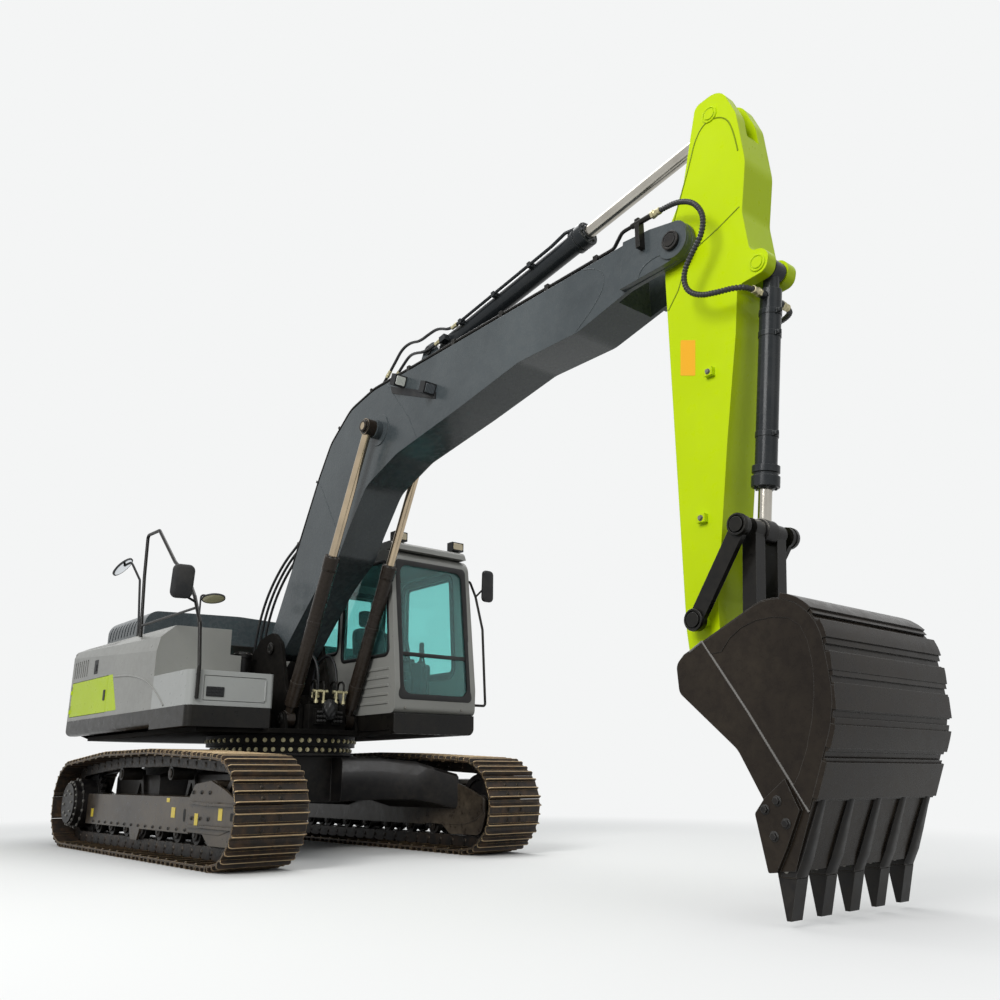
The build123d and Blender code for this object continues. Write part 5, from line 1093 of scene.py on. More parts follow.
# house: end of the lime panel beyond the door, the pressed groove that sweeps forward, and the latches
panelSetup = {
    "end": ((-1.286, 1.326), (-0.955, 1.326), (-1.165, 1.698), (-1.286, 1.698)),
    "proud": 0.0015,
    "groove": ((-1.12, 1.668), (-0.75, 1.655), (-0.44, 1.615), (-0.18, 1.555), (0.015, 1.475), (0.2, 1.37),
               (0.30, 1.30)),
    "grooveRadius": 0.010,
}
endOutline = roundedCorners(panelSetup["end"], 0.01)
makePiece("limePanelEnd", slab(endOutline, -1.355 - panelSetup["proud"], -1.353, "y", 0.0005), limeEnamel,
          "upper")
grooveLine = hoseLine("grooveLine", [(x, -1.3548, z) for x, z in panelSetup["groove"]])
groove = carried(evenly(grooveLine, 0.02), circleProfile(panelSetup["grooveRadius"], 10), (0, 1, 0))
makePiece("sweepSwage", groove, greyEnamel, "upper", smoothDegrees=80.0)
latch = [slab(roundedBox((-1.107, 1.40), (0.083, 0.043), 0.008), 0.8295, 0.836, "x", 0.0015)]
for row in range(3):
    for column in range(4):
        latch.append(slab(roundedBox((-1.165 + 0.038 * column, 1.372 + 0.028 * row), (0.014, 0.009), 0.003),
                          0.834, 0.840, "x", 0.001))
makePiece("boxLatch", together(latch), blackPlastic, "toolbox_door_body")
flap = [slab(roundedBox((-1.72, 1.82), (0.055, 0.075), 0.012), -1.3585, -1.353, "y", 0.0015),
        slab(roundedBox((-1.72, 1.81), (0.03, 0.035), 0.008), -1.365, -1.356, "y", 0.002)]
makePiece("sideFlap", together(flap), blackPlastic, "upper")
pumpLatch = slab(roundedBox((-1.36, 1.50), (0.028, 0.055), 0.012), -1.3615, -1.3535, "y", 0.002)
makePiece("pumpDoorLatch", pumpLatch, blackPlastic, "pump_door_body")
radiatorLatch = slab(roundedBox((-1.40, 1.55), (0.028, 0.055), 0.012), 1.3535, 1.3615, "y", 0.002)
makePiece("radiatorDoorLatch", radiatorLatch, blackPlastic, "radiator_door_body")

# oil filter housings and their lid bolts behind the boom's right side
filterSetup = {"places": ((-0.20, -0.395), (-0.46, -0.405)), "radius": 0.085, "low": 1.0995, "high": 1.90}
shapes = []
lidBolts = []
for x, y in filterSetup["places"]:
    radius = filterSetup["radius"]
    low = filterSetup["low"]
    top = filterSetup["high"] - low
    shapes.append(turned([(0.0, radius * 1.1), (0.02, radius * 1.1), (0.025, radius), (top - 0.06, radius),
                          (top - 0.058, radius * 1.14), (top - 0.02, radius * 1.14),
                          (top - 0.018, radius * 1.02), (top - 0.004, radius * 0.98), (top, radius * 0.8),
                          (top, 0.0001)], (x, y, low), (0, 0, 1), 36))
    angle = np.arange(8) * np.pi / 4
    places = np.column_stack([x + radius * 1.07 * np.cos(angle), y + radius * 1.07 * np.sin(angle),
                              np.full(8, low + top - 0.02)])
    lidBolts.append(boltsAt(places, (0, 0, 1), 0.014, 0.008))
makePiece("oilFilters", together(shapes), castEnamel, "upper")
makePiece("filterBolts", together(lidBolts), boltSteel, "upper")

# valve bank: tees with nuts, spool caps and the folded boot between them
teeSleeves = []
pilotPipes = []
for y in (-0.118, -0.038, 0.098, 0.178):
    teeSleeves.append(turned([(0.0, 0.017), (0.002, 0.020), (0.030, 0.020), (0.032, 0.012), (0.075, 0.012),
                              (0.080, 0.014), (0.120, 0.014)], (0.86, y, 1.345), (0, 0, 1), 14))
    teeSleeves.append(turned([(-0.040, 0.010), (-0.038, 0.016), (-0.022, 0.016), (-0.020, 0.013),
                              (0.020, 0.013), (0.022, 0.016), (0.038, 0.016), (0.040, 0.010)],
                             (0.86, y, 1.458), (0, 1, 0), 14))
    bend = [(0.86, y, 1.45), (0.86, y, 1.56), (0.72, y + 0.015, 1.56), (0.72, y + 0.02, 1.12)]
    pilotPipes.append(carried(roundedCorners(bend, (0, 0.055, 0.06, 0), closed=False, steps=8),
                              circleProfile(0.0105, 10), (0, 1, 0)))
makePiece("pilotPipes", together(pilotPipes), blackEnamel, "upper", smoothDegrees=60.0)
makePiece("teeNuts", together(teeSleeves), fittingSteel, "upper")
caps = []
for low, high in ((-0.15, -0.04), (0.03, 0.14)):
    for z in (1.18, 1.22, 1.26):
        for y in np.linspace(low + 0.022, high - 0.022, 3):
            caps.append(turned([(0.0, 0.013), (0.014, 0.013), (0.016, 0.009), (0.03, 0.009), (0.032, 0.004),
                                (0.032, 0.0001)], (0.9245, float(y), z), (1, 0, 0), 12))
makePiece("spoolCaps", together(caps), castEnamel, "upper")


# folded boot: an egg whose radius carries waves round it and along it, so that it looks crumpled
def foldedBoot(middle, half, around=48, rows=30):
    turn = np.linspace(0.0, 2 * np.pi, around, endpoint=False)[None, :]
    rise = np.linspace(-np.pi / 2, np.pi / 2, rows)[:, None]
    waves = 0.10 * np.sin(5 * turn + 3 * rise) + 0.06 * np.sin(9 * turn - 7 * rise)
    fold = 1.0 + waves * np.cos(rise)
    ball = np.stack([np.cos(rise) * np.cos(turn), np.cos(rise) * np.sin(turn),
                     np.sin(rise) * np.ones_like(turn)], -1)
    return skinned(np.asarray(middle) + ball * fold[..., None] * np.asarray(half))


makePiece("valveBoot", foldedBoot((0.935, -0.01, 1.285), (0.05, 0.075, 0.095)), sealRubber, "upper",
          smoothDegrees=70.0)
print("house made")


# lens on a lamp's face: a rounded slab laid on the box's own axes
def lensOn(middle, lean, halfY, halfZ, reach, thick=0.006):
    outline = roundedBox((0.0, 0.0), (halfY, halfZ), 0.012)
    flat, faces = slab(outline, reach, reach + thick, "x", 0.002)
    angle = math.radians(lean)
    axes = np.array([[math.cos(angle), 0, math.sin(angle)], [0, 1, 0],
                     [-math.sin(angle), 0, math.cos(angle)]])
    return np.asarray(middle) + flat @ axes.T, faces


makePiece("boomLensUpper", lensOn((2.309, -0.2648, 4.11), 22.0, 0.048, 0.040, 0.038), clearLens, "boom")
makePiece("boomLensLower", lensOn((2.761, -0.2648, 3.885), 22.0, 0.048, 0.040, 0.038), smokedLens, "boom")
roofLenses = [lensOn((1.16, y, 3.0145), 0.0, 0.062, 0.034, 0.045) for y in (0.565, 1.29)]
makePiece("roofLenses", together(roofLenses), amberLens, "upper")

# mirrors: domed housings and round dishes on bent stalks, glass on the faces that the driver sees, except the
# round dish, whose face is a flat cream that paints its reflection
mirrorSetup = {
    "right": ((-1.602, 2.18), (-1.405, 2.19), (-1.391, 2.493), (-1.59, 2.485)),
    "left": ((1.47, 2.425), (1.618, 2.425), (1.622, 2.76), (1.482, 2.76)),
    "housePlace": (-1.38, -1.312, 2.875),
    "houseUp": (-0.385, -0.610, 0.693),     # the back of the tilted dish over the house
    "houseRadius": 0.128,
    "roundPlace": (-0.3, -0.715, 2.443),
    "roundUp": (-0.242, 0.0, 0.970),
    "roundRadius": 0.118,
}
rightOutline = roundedCorners(mirrorSetup["right"], 0.055)
leftOutline = roundedCorners(mirrorSetup["left"], 0.045)
domeRows = ((0.004, 0.0), (0.0, 0.004), (0.0, 0.022), (0.008, 0.038), (0.03, 0.048))


def housing(outline, back, depth):
    rings = [onPlane(drawnIn(outline, inset), back + reach * depth / 0.048, "x") for inset, reach in domeRows]
    return skinned(np.array(rings))


def dish(place, up, radius):
    return turned([(-0.010, 0.0001), (-0.010, radius * 0.9), (-0.012, radius), (0.004, radius),
                   (0.012, radius * 0.85), (0.017, radius * 0.5), (0.019, 0.0001)], place, up, 48)


def stalk(corners, radius, bend):
    return carried(roundedCorners(corners, bend, closed=False), circleProfile(radius, 12), (0.3, 0.9, 0.1))


houseMirror = dish(mirrorSetup["housePlace"], mirrorSetup["houseUp"], mirrorSetup["houseRadius"])
roundMirror = dish(mirrorSetup["roundPlace"], mirrorSetup["roundUp"], mirrorSetup["roundRadius"])
houseStalk = stalk([(-1.01, -1.2, 1.99), (-1.01, -1.2, 2.2), (-1.12, -1.2, 2.7), (-1.17, -1.29, 2.89),
                    (-1.355, -1.30, 2.885)], 0.012, 0.04)
roundStalk = stalk([(-0.3, -0.85, 1.99), (-0.3, -0.85, 2.466), (-0.3, -0.735, 2.455)], 0.009, 0.03)
ball = turned([(-0.02, 0.0001), (-0.016, 0.012), (0.0, 0.02), (0.016, 0.012), (0.02, 0.0001)],
              (-1.345, -1.30, 2.89), (0, 0, 1), 16)
makePiece("mirrorHousings", together([housing(rightOutline, 0.83, 0.048), housing(leftOutline, 1.372, 0.04),
                                      houseMirror, roundMirror, houseStalk, roundStalk, ball]), blackPlastic,
          "upper", ("mirrors",))
rightFace = drawnIn(rightOutline, 0.012)
leftFace = drawnIn(leftOutline, 0.012)
houseUp = unit(mirrorSetup["houseUp"])
houseFace = turned([(0.0, 0.0001), (0.0, 0.110), (0.002, 0.112), (0.004, 0.0001)],
                   np.array(mirrorSetup["housePlace"]) - houseUp * 0.0135, houseUp, 48)
makePiece("mirrorGlass", together([slab(rightFace, 0.8285, 0.832, "x", 0.001),
                                   slab(leftFace, 1.3705, 1.374, "x", 0.001), houseFace]), mirrorGlass,
          "upper")
# the round mirror's face is a cream colour in place of glass: it paints what the mirror reflects
roundUp = unit(mirrorSetup["roundUp"])
roundFace = turned([(0.0, 0.0001), (0.001, 0.06), (0.004, 0.104), (0.006, 0.108), (0.008, 0.0001)],
                   np.array(mirrorSetup["roundPlace"]) - roundUp * 0.0165, roundUp, 48)
makePiece("roundMirrorFace", roundFace, paintedReflectionCream, "upper")
print("lamps and mirrors made")

# boom: weld lines on its sides and on the cheeks of its nose
boomSetup = {
    "halfWidth": 0.2025,
    "cheek": 0.2475,
    "seamRadius": 0.0035,
    "seamPitch": 0.010,
    "noseSeam": ((4.60, 4.225), (4.70, 4.20), (4.80, 4.11), (4.79, 4.0), (4.70, 3.90), (4.56, 3.80),
                 (4.50, 3.765)),
    "midSeam": ((2.03, 4.19), (2.231, 3.938), (2.40, 3.74), (2.52, 3.52)),
    "footSeam": ((0.86, 3.50), (1.06, 3.20), (1.26, 2.90), (1.32, 2.74)),
    "cheekSeam": ((5.14, 3.89), (5.17, 3.95), (5.26, 3.985), (5.36, 3.985), (5.46, 3.94)),
}
seams = []
for side in (-1.0, 1.0):
    y = side * boomSetup["halfWidth"]
    lines = [hoseLine("noseSeam", atSide(boomSetup["noseSeam"], y)), atSide(boomSetup["midSeam"], y),
             atSide(boomSetup["footSeam"], y)]
    for line in lines:
        seams.append(weldBead(line, boomSetup["seamRadius"], boomSetup["seamPitch"], (0, 1, 0)))
    arcCheek = hoseLine("cheekSeam", atSide(boomSetup["cheekSeam"], side * boomSetup["cheek"]))
    seams.append(carried(evenly(arcCheek, 0.01), circleProfile(0.005, 8), (0, 1, 0)))
makePiece("boomSeams", together(seams), slateEnamel, "boom", smoothDegrees=70.0)


# steel conduits along the boom's rear right edge: the edge's line pushed outwards, with clips
conduitSetup = {"line": ((0.38, 2.70), (0.86, 3.56), (1.06, 3.86), (1.40, 4.11), (1.80, 4.195), (2.12, 4.20)),
                "places": ((-0.190, 0.030), (-0.160, 0.034)), "radius": 0.011}
shapes = []
for y, lift in conduitSetup["places"]:
    line = roundedCorners(atSide(conduitSetup["line"], y), (0, 0.3, 0.3, 0.3, 0.3, 0), closed=False)
    line = evenly(line, 0.03)
    way = unit(np.gradient(line, axis=0))
    line = line + np.column_stack([-way[:, 2], np.zeros(len(line)), way[:, 0]]) * lift
    shapes.append(carried(line, circleProfile(conduitSetup["radius"], 10), (0, 1, 0)))
for share in (0.12, 0.38, 0.62, 0.86):
    index = int(share * (len(line) - 1))
    place = line[index]
    way = unit(line[index + 1] - place)
    clip = slab(roundedBox((0.0, -0.006), (0.035, 0.022), 0.008), -0.012, 0.012, "x", 0.002)
    axes = np.column_stack([way, (0, 1, 0), np.cross(way, (0, 1, 0))])
    shapes.append((np.array([place[0], -0.176, place[2]]) + clip[0] @ axes.T, clip[1]))
makePiece("boomConduits", together(shapes), blackEnamel, "boom", smoothDegrees=60.0)


# pins and hydraulic cylinders of the boom, arm and bucket: places are X, Z, a cylinder's sides are its Y,
# gland is the share of the way from base to eye where its barrel ends, and barrel, rod and collar are radii
pinAt = {"boomFoot": (0.158, 1.917), "arm": (5.458, 4.028), "guide": (5.44, 1.54), "bucket": (5.44, 1.12),
         "bucketLink": (5.74, 1.44)}
cylinders = {
    "boom": {"base": (0.7, 1.2), "eye": (1.92, 3.76), "sides": (-0.318, 0.318), "barrel": 0.066, "rod": 0.04,
             "gland": 0.56, "collar": 0.0735},
    "arm": {"base": (2.55, 4.37), "eye": (5.75, 4.89), "sides": (0.0,), "barrel": 0.082, "rod": 0.05,
            "gland": 0.6, "collar": 0.1},
    "bucket": {"base": (6.004, 3.66), "eye": (5.79, 2.04), "sides": (0.0,), "barrel": 0.066, "rod": 0.04,
               "gland": 0.84, "collar": 0.084},
}


# cap on a pin's end: a turned plate with a bevelled rim and, on most, a few bolts
def pinCap(middle, y, side, radius, thick, bolts=3):
    face = (middle[0], y, middle[1])
    cap = turned([(-0.004, radius), (thick * 0.7, radius), (thick, radius * 0.94), (thick, radius * 0.80),
                  (thick * 0.4, radius * 0.77), (thick * 0.4, radius * 0.68), (thick * 1.2, radius * 0.65),
                  (thick * 1.2, 0.0001)], face, (0, side, 0), 36)
    if not bolts:
        return cap
    angle = np.arange(bolts) * 2 * np.pi / bolts + 0.5
    places = np.column_stack([middle[0] + radius * 0.62 * np.cos(angle), np.full(bolts, y + side * thick),
                              middle[1] + radius * 0.62 * np.sin(angle)])
    return together([cap, boltsAt(places, (0, side, 0), radius * 0.26, radius * 0.12)])


caps = {"boom": [], "arm": [], "upper": [], "boom_rods": [], "bucket": [], "guide_link": []}
for side in (-1.0, 1.0):
    caps["boom"].append(pinCap(pinAt["arm"], side * 0.277, side, 0.066, 0.012, 0))
    caps["boom"].append(pinCap(cylinders["arm"]["base"], side * 0.111, side, 0.042, 0.008, 2))
    caps["arm"].append(pinCap(cylinders["bucket"]["base"], side * 0.15, side, 0.056, 0.009, 0))
    caps["arm"].append(pinCap(cylinders["arm"]["eye"], side * 0.15, side, 0.058, 0.010, 0))
    caps["guide_link"].append(pinCap(pinAt["guide"], side * 0.2505, side, 0.067, 0.020, 0))
    caps["guide_link"].append(pinCap(cylinders["bucket"]["eye"], side * 0.2505, side, 0.067, 0.026, 0))
    caps["bucket"].append(pinCap(pinAt["bucket"], side * 0.230, side, 0.050, 0.010, 2))
    caps["upper"].append(pinCap(pinAt["boomFoot"], side * 0.2705, side, 0.058, 0.008))
    caps["upper"].append(pinCap(cylinders["boom"]["base"], side * 0.392, side, 0.052, 0.008))
    x, z = cylinders["boom"]["eye"]
    caps["boom_rods"].append(turned([(-0.0446, 0.070), (-0.042, 0.0772), (0.042, 0.0772), (0.0446, 0.070),
                                     (0.0446, 0.0545), (0.067, 0.0545), (0.070, 0.050), (0.070, 0.036),
                                     (0.066, 0.034), (0.066, 0.0001)], (x, side * 0.318, z), (0, side, 0),
                                    40))
    caps["bucket"].append(pinCap(pinAt["bucketLink"], side * 0.220, side, 0.042, 0.007, 2))
capFinish = {"boom": castEnamel, "arm": limeEnamel, "upper": blackEnamel, "boom_rods": barrelEnamel,
             "bucket": bucketEnamel, "guide_link": blackEnamel}
for body, shapes in caps.items():
    makePiece("pinCaps_" + body, together(shapes), capFinish[body], body)

# arm: weld lines round its top and across its sides, in a darker lime that paints the shadow lines along
# them, the blank plate and the two bolts on their pads
armSetup = {
    "halfWidth": 0.15,
    "rim": ((5.335, 3.99), (5.38, 4.20), (5.472, 4.41), (5.557, 4.597), (5.625, 4.78), (5.72, 4.86),
            (5.85, 4.82), (5.918, 4.70), (5.94, 4.50)),
    "crossSeam": ((5.50, 3.94), (5.542, 3.96), (5.75, 4.03), (5.915, 4.10)),
    "lowSeam": ((5.31, 3.62), (5.40, 3.73), (5.50, 3.94)),
    "plate": ((5.393, 3.375), (5.509, 3.331), (5.49, 3.092), (5.375, 3.132)),
}
armSeams = []
for side in (-1.0, 1.0):
    y = side * armSetup["halfWidth"]
    rim = hoseLine("armRim", atSide(armSetup["rim"], y))
    armSeams.append(weldBead(rim, 0.0050, 0.012, (0, 1, 0)))
    for name in ("crossSeam", "lowSeam"):
        armSeams.append(weldBead(atSide(armSetup[name], y), 0.0045, 0.012, (0, 1, 0)))
makePiece("armSeams", together(armSeams), paintedShadowLime, "arm", smoothDegrees=70.0)
plate = slab(roundedCorners(armSetup["plate"], 0.006), -0.1515, -0.1485, "y", 0.0004)
makePiece("armPlate", plate, amberVinyl, "arm")
makePiece("armPadBolts", boltsAt([(5.609, -0.184, 3.069), (5.48, -0.184, 2.157)], (0, -1, 0), 0.026, 0.014),
          boltSteel, "arm")


# a cylinder's base pin and rod eye as points, and the direction from one to the other
def cylinderLine(cylinder, y):
    base = np.array([cylinder["base"][0], y, cylinder["base"][1]])
    eye = np.array([cylinder["eye"][0], y, cylinder["eye"][1]])
    return base, eye, unit(eye - base)


# gland on a cylinder: a ring of cap screws round the rod, a wiper ring, and a stepped collar on the barrel
def gland(cylinder, y, count=8):
    base, eye, way = cylinderLine(cylinder, y)
    barrel = cylinder["barrel"]
    rod = cylinder["rod"]
    widest = cylinder["collar"]
    face = base + (eye - base) * cylinder["gland"]
    first, second = acrossAxes(way)
    angle = np.arange(count) * 2 * np.pi / count
    ring = (barrel + 0.012 + rod) / 2
    places = face + ring * (np.cos(angle)[:, None] * first + np.sin(angle)[:, None] * second)
    wiper = turned([(-0.002, rod + 0.001), (-0.002, rod + 0.014), (0.008, rod + 0.014), (0.012, rod + 0.008),
                    (0.012, rod + 0.001)], face, way, 32, hollow=True)
    low = barrel + 0.002
    collar = turned([(-0.135, low), (-0.13, widest - 0.002), (-0.09, widest - 0.002), (-0.086, low + 0.0045),
                     (-0.072, low + 0.0045), (-0.067, widest), (-0.005, widest), (-0.0005, widest - 0.004),
                     (-0.0005, rod + 0.002), (-0.002, rod + 0.002), (-0.002, barrel - 0.002),
                     (-0.135, barrel - 0.002)], face, way, 40, hollow=True)
    return together([boltsAt(places, way, 0.016, 0.011), wiper, collar])


boomGlands = [gland(cylinders["boom"], y) for y in cylinders["boom"]["sides"]]
makePiece("glands_boom", together(boomGlands), barrelEnamel, "boom_barrels")
makePiece("gland_arm", gland(cylinders["arm"], 0.0), blueBlackEnamel, "arm_barrel")
makePiece("gland_bucket", gland(cylinders["bucket"], 0.0), blueBlackEnamel, "bucket_barrel")


# black eyes on the ends of the rods
rodEye = [(-1.0, 0.90), (-0.94, 1.0), (0.94, 1.0), (1.0, 0.90)]
for name, half, radius in (("arm", 0.0547, 0.0770), ("bucket", 0.0530, 0.0722)):
    x, z = cylinders[name]["eye"]
    rows = [(along * half, out * radius) for along, out in rodEye]
    makePiece("rodEye_" + name, turned([(-half, 0.0001)] + rows + [(half, 0.0001)], (x, 0, z), (0, 1, 0), 40),
              castEnamel, name + "_rod")


# clamp band round a barrel: a flat strap turned round it, with a lug and its bolt on one side
def clampBand(cylinder, y, reach, lugWay):
    base, _, way = cylinderLine(cylinder, y)
    barrel = cylinder["barrel"]
    middle = base + way * reach
    band = turned([(-0.016, barrel - 0.001), (-0.016, barrel + 0.004), (0.016, barrel + 0.004),
                   (0.016, barrel - 0.001)], middle, way, 36, hollow=True)
    lugWay = unit(np.asarray(lugWay, float) - np.dot(lugWay, way) * way)
    across = np.cross(way, lugWay)
    lug = slab(roundedBox((0.0, barrel + 0.012), (0.014, 0.018), 0.004), -0.012, 0.012, "x", 0.002)
    axes = np.column_stack([across, way, lugWay])
    screw = middle + lugWay * (barrel + 0.018) + across * 0.012
    return together([band, (middle + lug[0] @ axes.T, lug[1]), boltsAt([screw], [across], 0.014, 0.008)])


bucketClamps = [clampBand(cylinders["bucket"], 0.0, reach, (1, -0.3, 0)) for reach in (0.28, 0.42, 1.05)]
makePiece("clamps_bucket", together(bucketClamps), blueBlackEnamel, "bucket_barrel")
boomClamps = [clampBand(cylinders["boom"], y, reach, (-1, 0, 0.3))
              for y in cylinders["boom"]["sides"] for reach in (0.35, 0.95)]
makePiece("clamps_boom", together(boomClamps), barrelEnamel, "boom_barrels")
print("boom, arm and cylinders made")

# bucket: a raised rim plate round each side, weld lines, wear strips over the wrapper, adapters' legs,
# bolts through the side cutters and pins through the teeth
bucketSetup = {
    "half": 0.57,
    "cutter": 0.595,
    "cutterBolts": ((6.05, 0.52), (6.12, 0.56), (6.09, 0.40), (6.16, 0.46)),
    "seam": ((5.64, 1.31), (5.726, 1.356), (5.98, 0.977), (6.269, 0.512)),
    "teethY": (-0.508, -0.254, 0.0, 0.254, 0.508),
    "stripsZ": ((1.428, 1.522), (1.278, 1.382), (1.128, 1.232), (0.968, 1.082), (0.788, 0.922),
                (0.572, 0.742)),
    "stripProud": 0.024,
    "stripHalf": 0.578,
    "foremost": 6.4655,         # no strip stands farther forward than the solids do
}
bucketOutline = roundedCorners([(5.6, 1.3), (6.395, 1.655), (6.465, 0.98), (6.17, 0.25), (6.06, 0.24),
                                (6.03, 0.56), (5.9, 0.8), (5.555, 1.1), (5.545, 1.25)],
                               (0.02, 0.27, 0.6, 0.0, 0.0, 0.06, 0.15, 0.06, 0.06), steps=10)
wrapper = evenly(bucketOutline[10:34], 0.022)
rimOuter = evenly(np.concatenate([[(5.737, 1.352)], drawnIn(bucketOutline, 0.006)[11:33], [(6.277, 0.53)]]),
                  0.012)
rimInner = evenly([(5.775, 1.285), (5.847, 1.29), (5.903, 1.353), (5.98, 1.40), (6.066, 1.425), (6.17, 1.43),
                   (6.256, 1.414), (6.315, 1.37), (6.345, 1.30), (6.36, 1.205), (6.362, 1.12), (6.354, 1.039),
                   (6.33, 0.92), (6.285, 0.785), (6.235, 0.68), (6.18, 0.60)], 0.008)
rimInner = rimInner[np.linspace(0, len(rimInner) - 1, len(rimOuter)).round().astype(int)]
seams = []
rims = []
bolts = []
for side in (-1.0, 1.0):
    y = side * bucketSetup["half"]
    rims.append(skinned(np.stack([onPlane(rimInner, y - side * 0.002, "y"),
                                  onPlane(rimInner, y + side * 0.004, "y"),
                                  onPlane(rimOuter, y + side * 0.004, "y"),
                                  onPlane(rimOuter, y - side * 0.002, "y")], axis=1)))
    seams.append(weldBead(atSide(bucketSetup["seam"], y), 0.0065, 0.014, (0, 1, 0)))
    places = atSide(bucketSetup["cutterBolts"], side * bucketSetup["cutter"])
    bolts.append(boltsAt(places, (0, side, 0), 0.034, 0.018))
toothPins = []
for y in bucketSetup["teethY"]:
    for side in (-1.0, 1.0):
        toothPins.append(turned([(-0.002, 0.013), (0.004, 0.013), (0.006, 0.010), (0.006, 0.0001)],
                                (6.115, y + side * 0.05, 0.25), (0, side, 0), 14))


# wear strip: the wrapper's line between two heights, pushed outwards, as a flat bar across the bucket
def wearStrip(lowZ, highZ):
    part = wrapper[(wrapper[:, 1] > lowZ) & (wrapper[:, 1] < highZ) & (wrapper[:, 0] > 6.2)]
    way = unit(np.gradient(part, axis=0))
    outward = np.column_stack([-way[:, 1], way[:, 0]]) * np.sign(-way[:, 1:2] + 1e-9)
    half = bucketSetup["stripHalf"]
    over = part + outward * bucketSetup["stripProud"]
    over[:, 0] = np.minimum(over[:, 0], bucketSetup["foremost"])
    under = part - outward * 0.004
    return skinned(np.stack([onPlane(under, -half, "y"), onPlane(over, -half, "y"), onPlane(over, half, "y"),
                             onPlane(under, half, "y")], axis=1))


# adapter leg: boxes at rising heights, proud of the wrapper and narrowing upwards, skinned into one bar
def adapterLeg(y):
    rows = ((0.222, 6.172, 0.051, 6.08), (0.300, 6.214, 0.050, 6.12), (0.400, 6.254, 0.043, 6.18),
            (0.500, 6.292, 0.033, 6.22), (0.610, 6.334, 0.020, 6.26), (0.650, 6.332, 0.012, 6.28))
    rings = [[(back, y - half, z), (front - 0.012, y - half, z), (front, y - half * 0.6, z),
              (front, y + half * 0.6, z), (front - 0.012, y + half, z), (back, y + half, z)]
             for z, front, half, back in rows]
    return skinned(np.array(rings))


strips = [wearStrip(low, high) for low, high in bucketSetup["stripsZ"]]
makePiece("wearStrips", together(strips), bucketEnamel, "bucket")
makePiece("bucketRims", together(rims), bucketEnamel, "bucket")
makePiece("adapterLegs", together([adapterLeg(y) for y in bucketSetup["teethY"]]), castEnamel, "bucket")
makePiece("bucketSeams", together(seams), weldBlack, "bucket", smoothDegrees=70.0)
makePiece("cutterBolts", together(bolts), castEnamel, "bucket")
makePiece("toothPins", together(toothPins), boltSteel, "bucket")
print("bucket made")

# plain studio: a pale floor that runs into a pale backdrop, soft lamps all round
studioSetup = {
    "backdrop": "#f4f5f5",
    "floor": "#e4e4e2",
    "bounce": "#7d7d7b",        # the floor as soft light sees it, so that undersides stay dark
    "light": "#eef2f6",
    "worldStrength": 0.55,
    "floorSize": 120.0,
    "floorFadeFrom": 4.0,       # metres from the machine where the floor turns into the backdrop
    "floorFadeTo": 9.0,
}


# 1 for rays from the camera, through glass or off a shiny face, which see the plain backdrop, and 0 for light
def backdropRays(tree):
    path = addNode(tree, "LightPath").outputs
    seen = addNode(tree, "Math", {"operation": "MAXIMUM"}, {0: path["Is Camera Ray"],
                                                            1: path["Is Transmission Ray"]}).outputs[0]
    return addNode(tree, "Math", {"operation": "MAXIMUM"}, {0: seen, 1: path["Is Glossy Ray"]}).outputs[0]


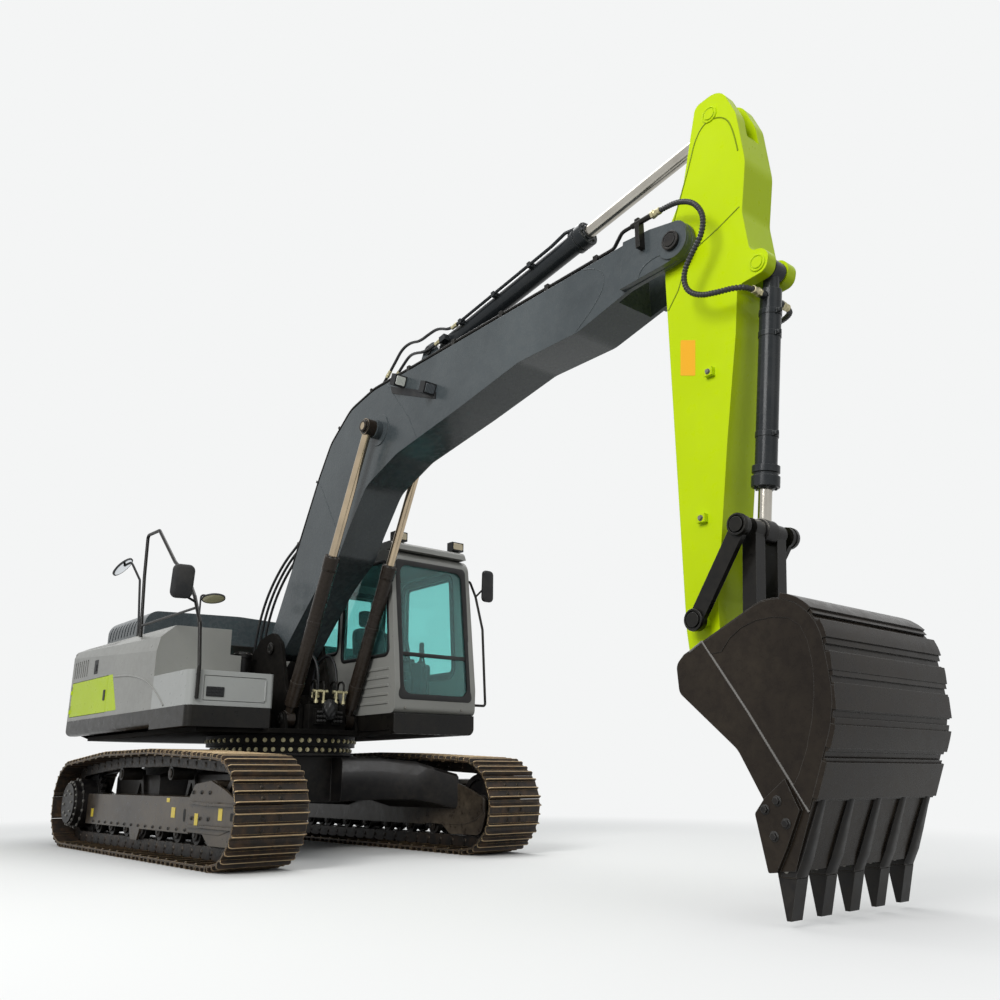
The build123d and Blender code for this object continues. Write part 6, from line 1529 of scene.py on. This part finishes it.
def makeStudio(setup):
    world = bpy.data.worlds.new("studio")
    scene.world = world
    world.use_nodes = True
    tree = world.node_tree
    tree.nodes.clear()
    plain = addNode(tree, "Background", None, {"Color": toLinear(setup["backdrop"]),
                                               "Strength": 1.0}).outputs[0]
    light = addNode(tree, "Background", None, {"Color": toLinear(setup["light"]),
                                               "Strength": setup["worldStrength"]}).outputs[0]
    mixed = addNode(tree, "MixShader", None, {0: backdropRays(tree), 1: light, 2: plain}).outputs[0]
    addNode(tree, "OutputWorld", None, {"Surface": mixed})

    material, tree = newMaterial("painted studio floor")
    place = addNode(tree, "TexCoord").outputs["Object"]
    away = addNode(tree, "VectorMath", {"operation": "LENGTH"}, {0: place}).outputs["Value"]
    fade = addNode(tree, "MapRange", {"interpolation_type": "SMOOTHSTEP"},
                   {"Value": away, "From Min": setup["floorFadeFrom"],
                    "From Max": setup["floorFadeTo"]}).outputs[0]
    painted = addNode(tree, "BsdfDiffuse", None, {"Color": toLinear(setup["floor"])}).outputs[0]
    backdrop = addNode(tree, "Emission", None, {"Color": toLinear(setup["backdrop"])}).outputs[0]
    mixed = addNode(tree, "MixShader", None, {0: fade, 1: painted, 2: backdrop}).outputs[0]
    bounce = addNode(tree, "BsdfDiffuse", None, {"Color": toLinear(setup["bounce"])}).outputs[0]
    mixed = addNode(tree, "MixShader", None, {0: backdropRays(tree), 1: bounce, 2: mixed}).outputs[0]
    addNode(tree, "OutputMaterial", None, {"Surface": mixed})
    half = setup["floorSize"] / 2
    mesh = bpy.data.meshes.new("studioFloor")
    mesh.from_pydata([(-half, -half, 0), (half, -half, 0), (half, half, 0), (-half, half, 0)], [],
                     [(0, 1, 2, 3)])
    mesh.materials.append(material)
    floor = bpy.data.objects.new("studioFloor", mesh)
    scene.collection.objects.link(floor)


# each lamp: where it stands, what it looks at, its side in metres and its power in watts
lampSetup = {
    "keyLamp": {"place": (7.0, -11.0, 8.0), "target": (2.0, 0.0, 2.0), "side": 6.0, "power": 1150.0},
    "frontLamp": {"place": (14.0, -1.0, 6.0), "target": (3.0, 0.0, 1.5), "side": 5.0, "power": 70.0},
    "topLamp": {"place": (0.0, 2.0, 11.0), "target": (1.0, 0.0, 1.0), "side": 8.0, "power": 700.0},
}


def makeLamps(setup):
    for name, lamp in setup.items():
        data = bpy.data.lights.new(name, "AREA")
        data.shape = "SQUARE"
        data.size = lamp["side"]
        data.energy = lamp["power"]
        lampObject = bpy.data.objects.new(name, data)
        scene.collection.objects.link(lampObject)
        back = unit(np.array(lamp["place"]) - np.array(lamp["target"]))
        right = unit(np.cross((0.0, 0.0, 1.0), back))
        matrix = np.eye(4)
        matrix[:3, 0] = right
        matrix[:3, 1] = np.cross(back, right)
        matrix[:3, 2] = back
        matrix[:3, 3] = lamp["place"]
        lampObject.matrix_world = Matrix(matrix.tolist())


makeStudio(studioSetup)
makeLamps(lampSetup)
print("studio ready")
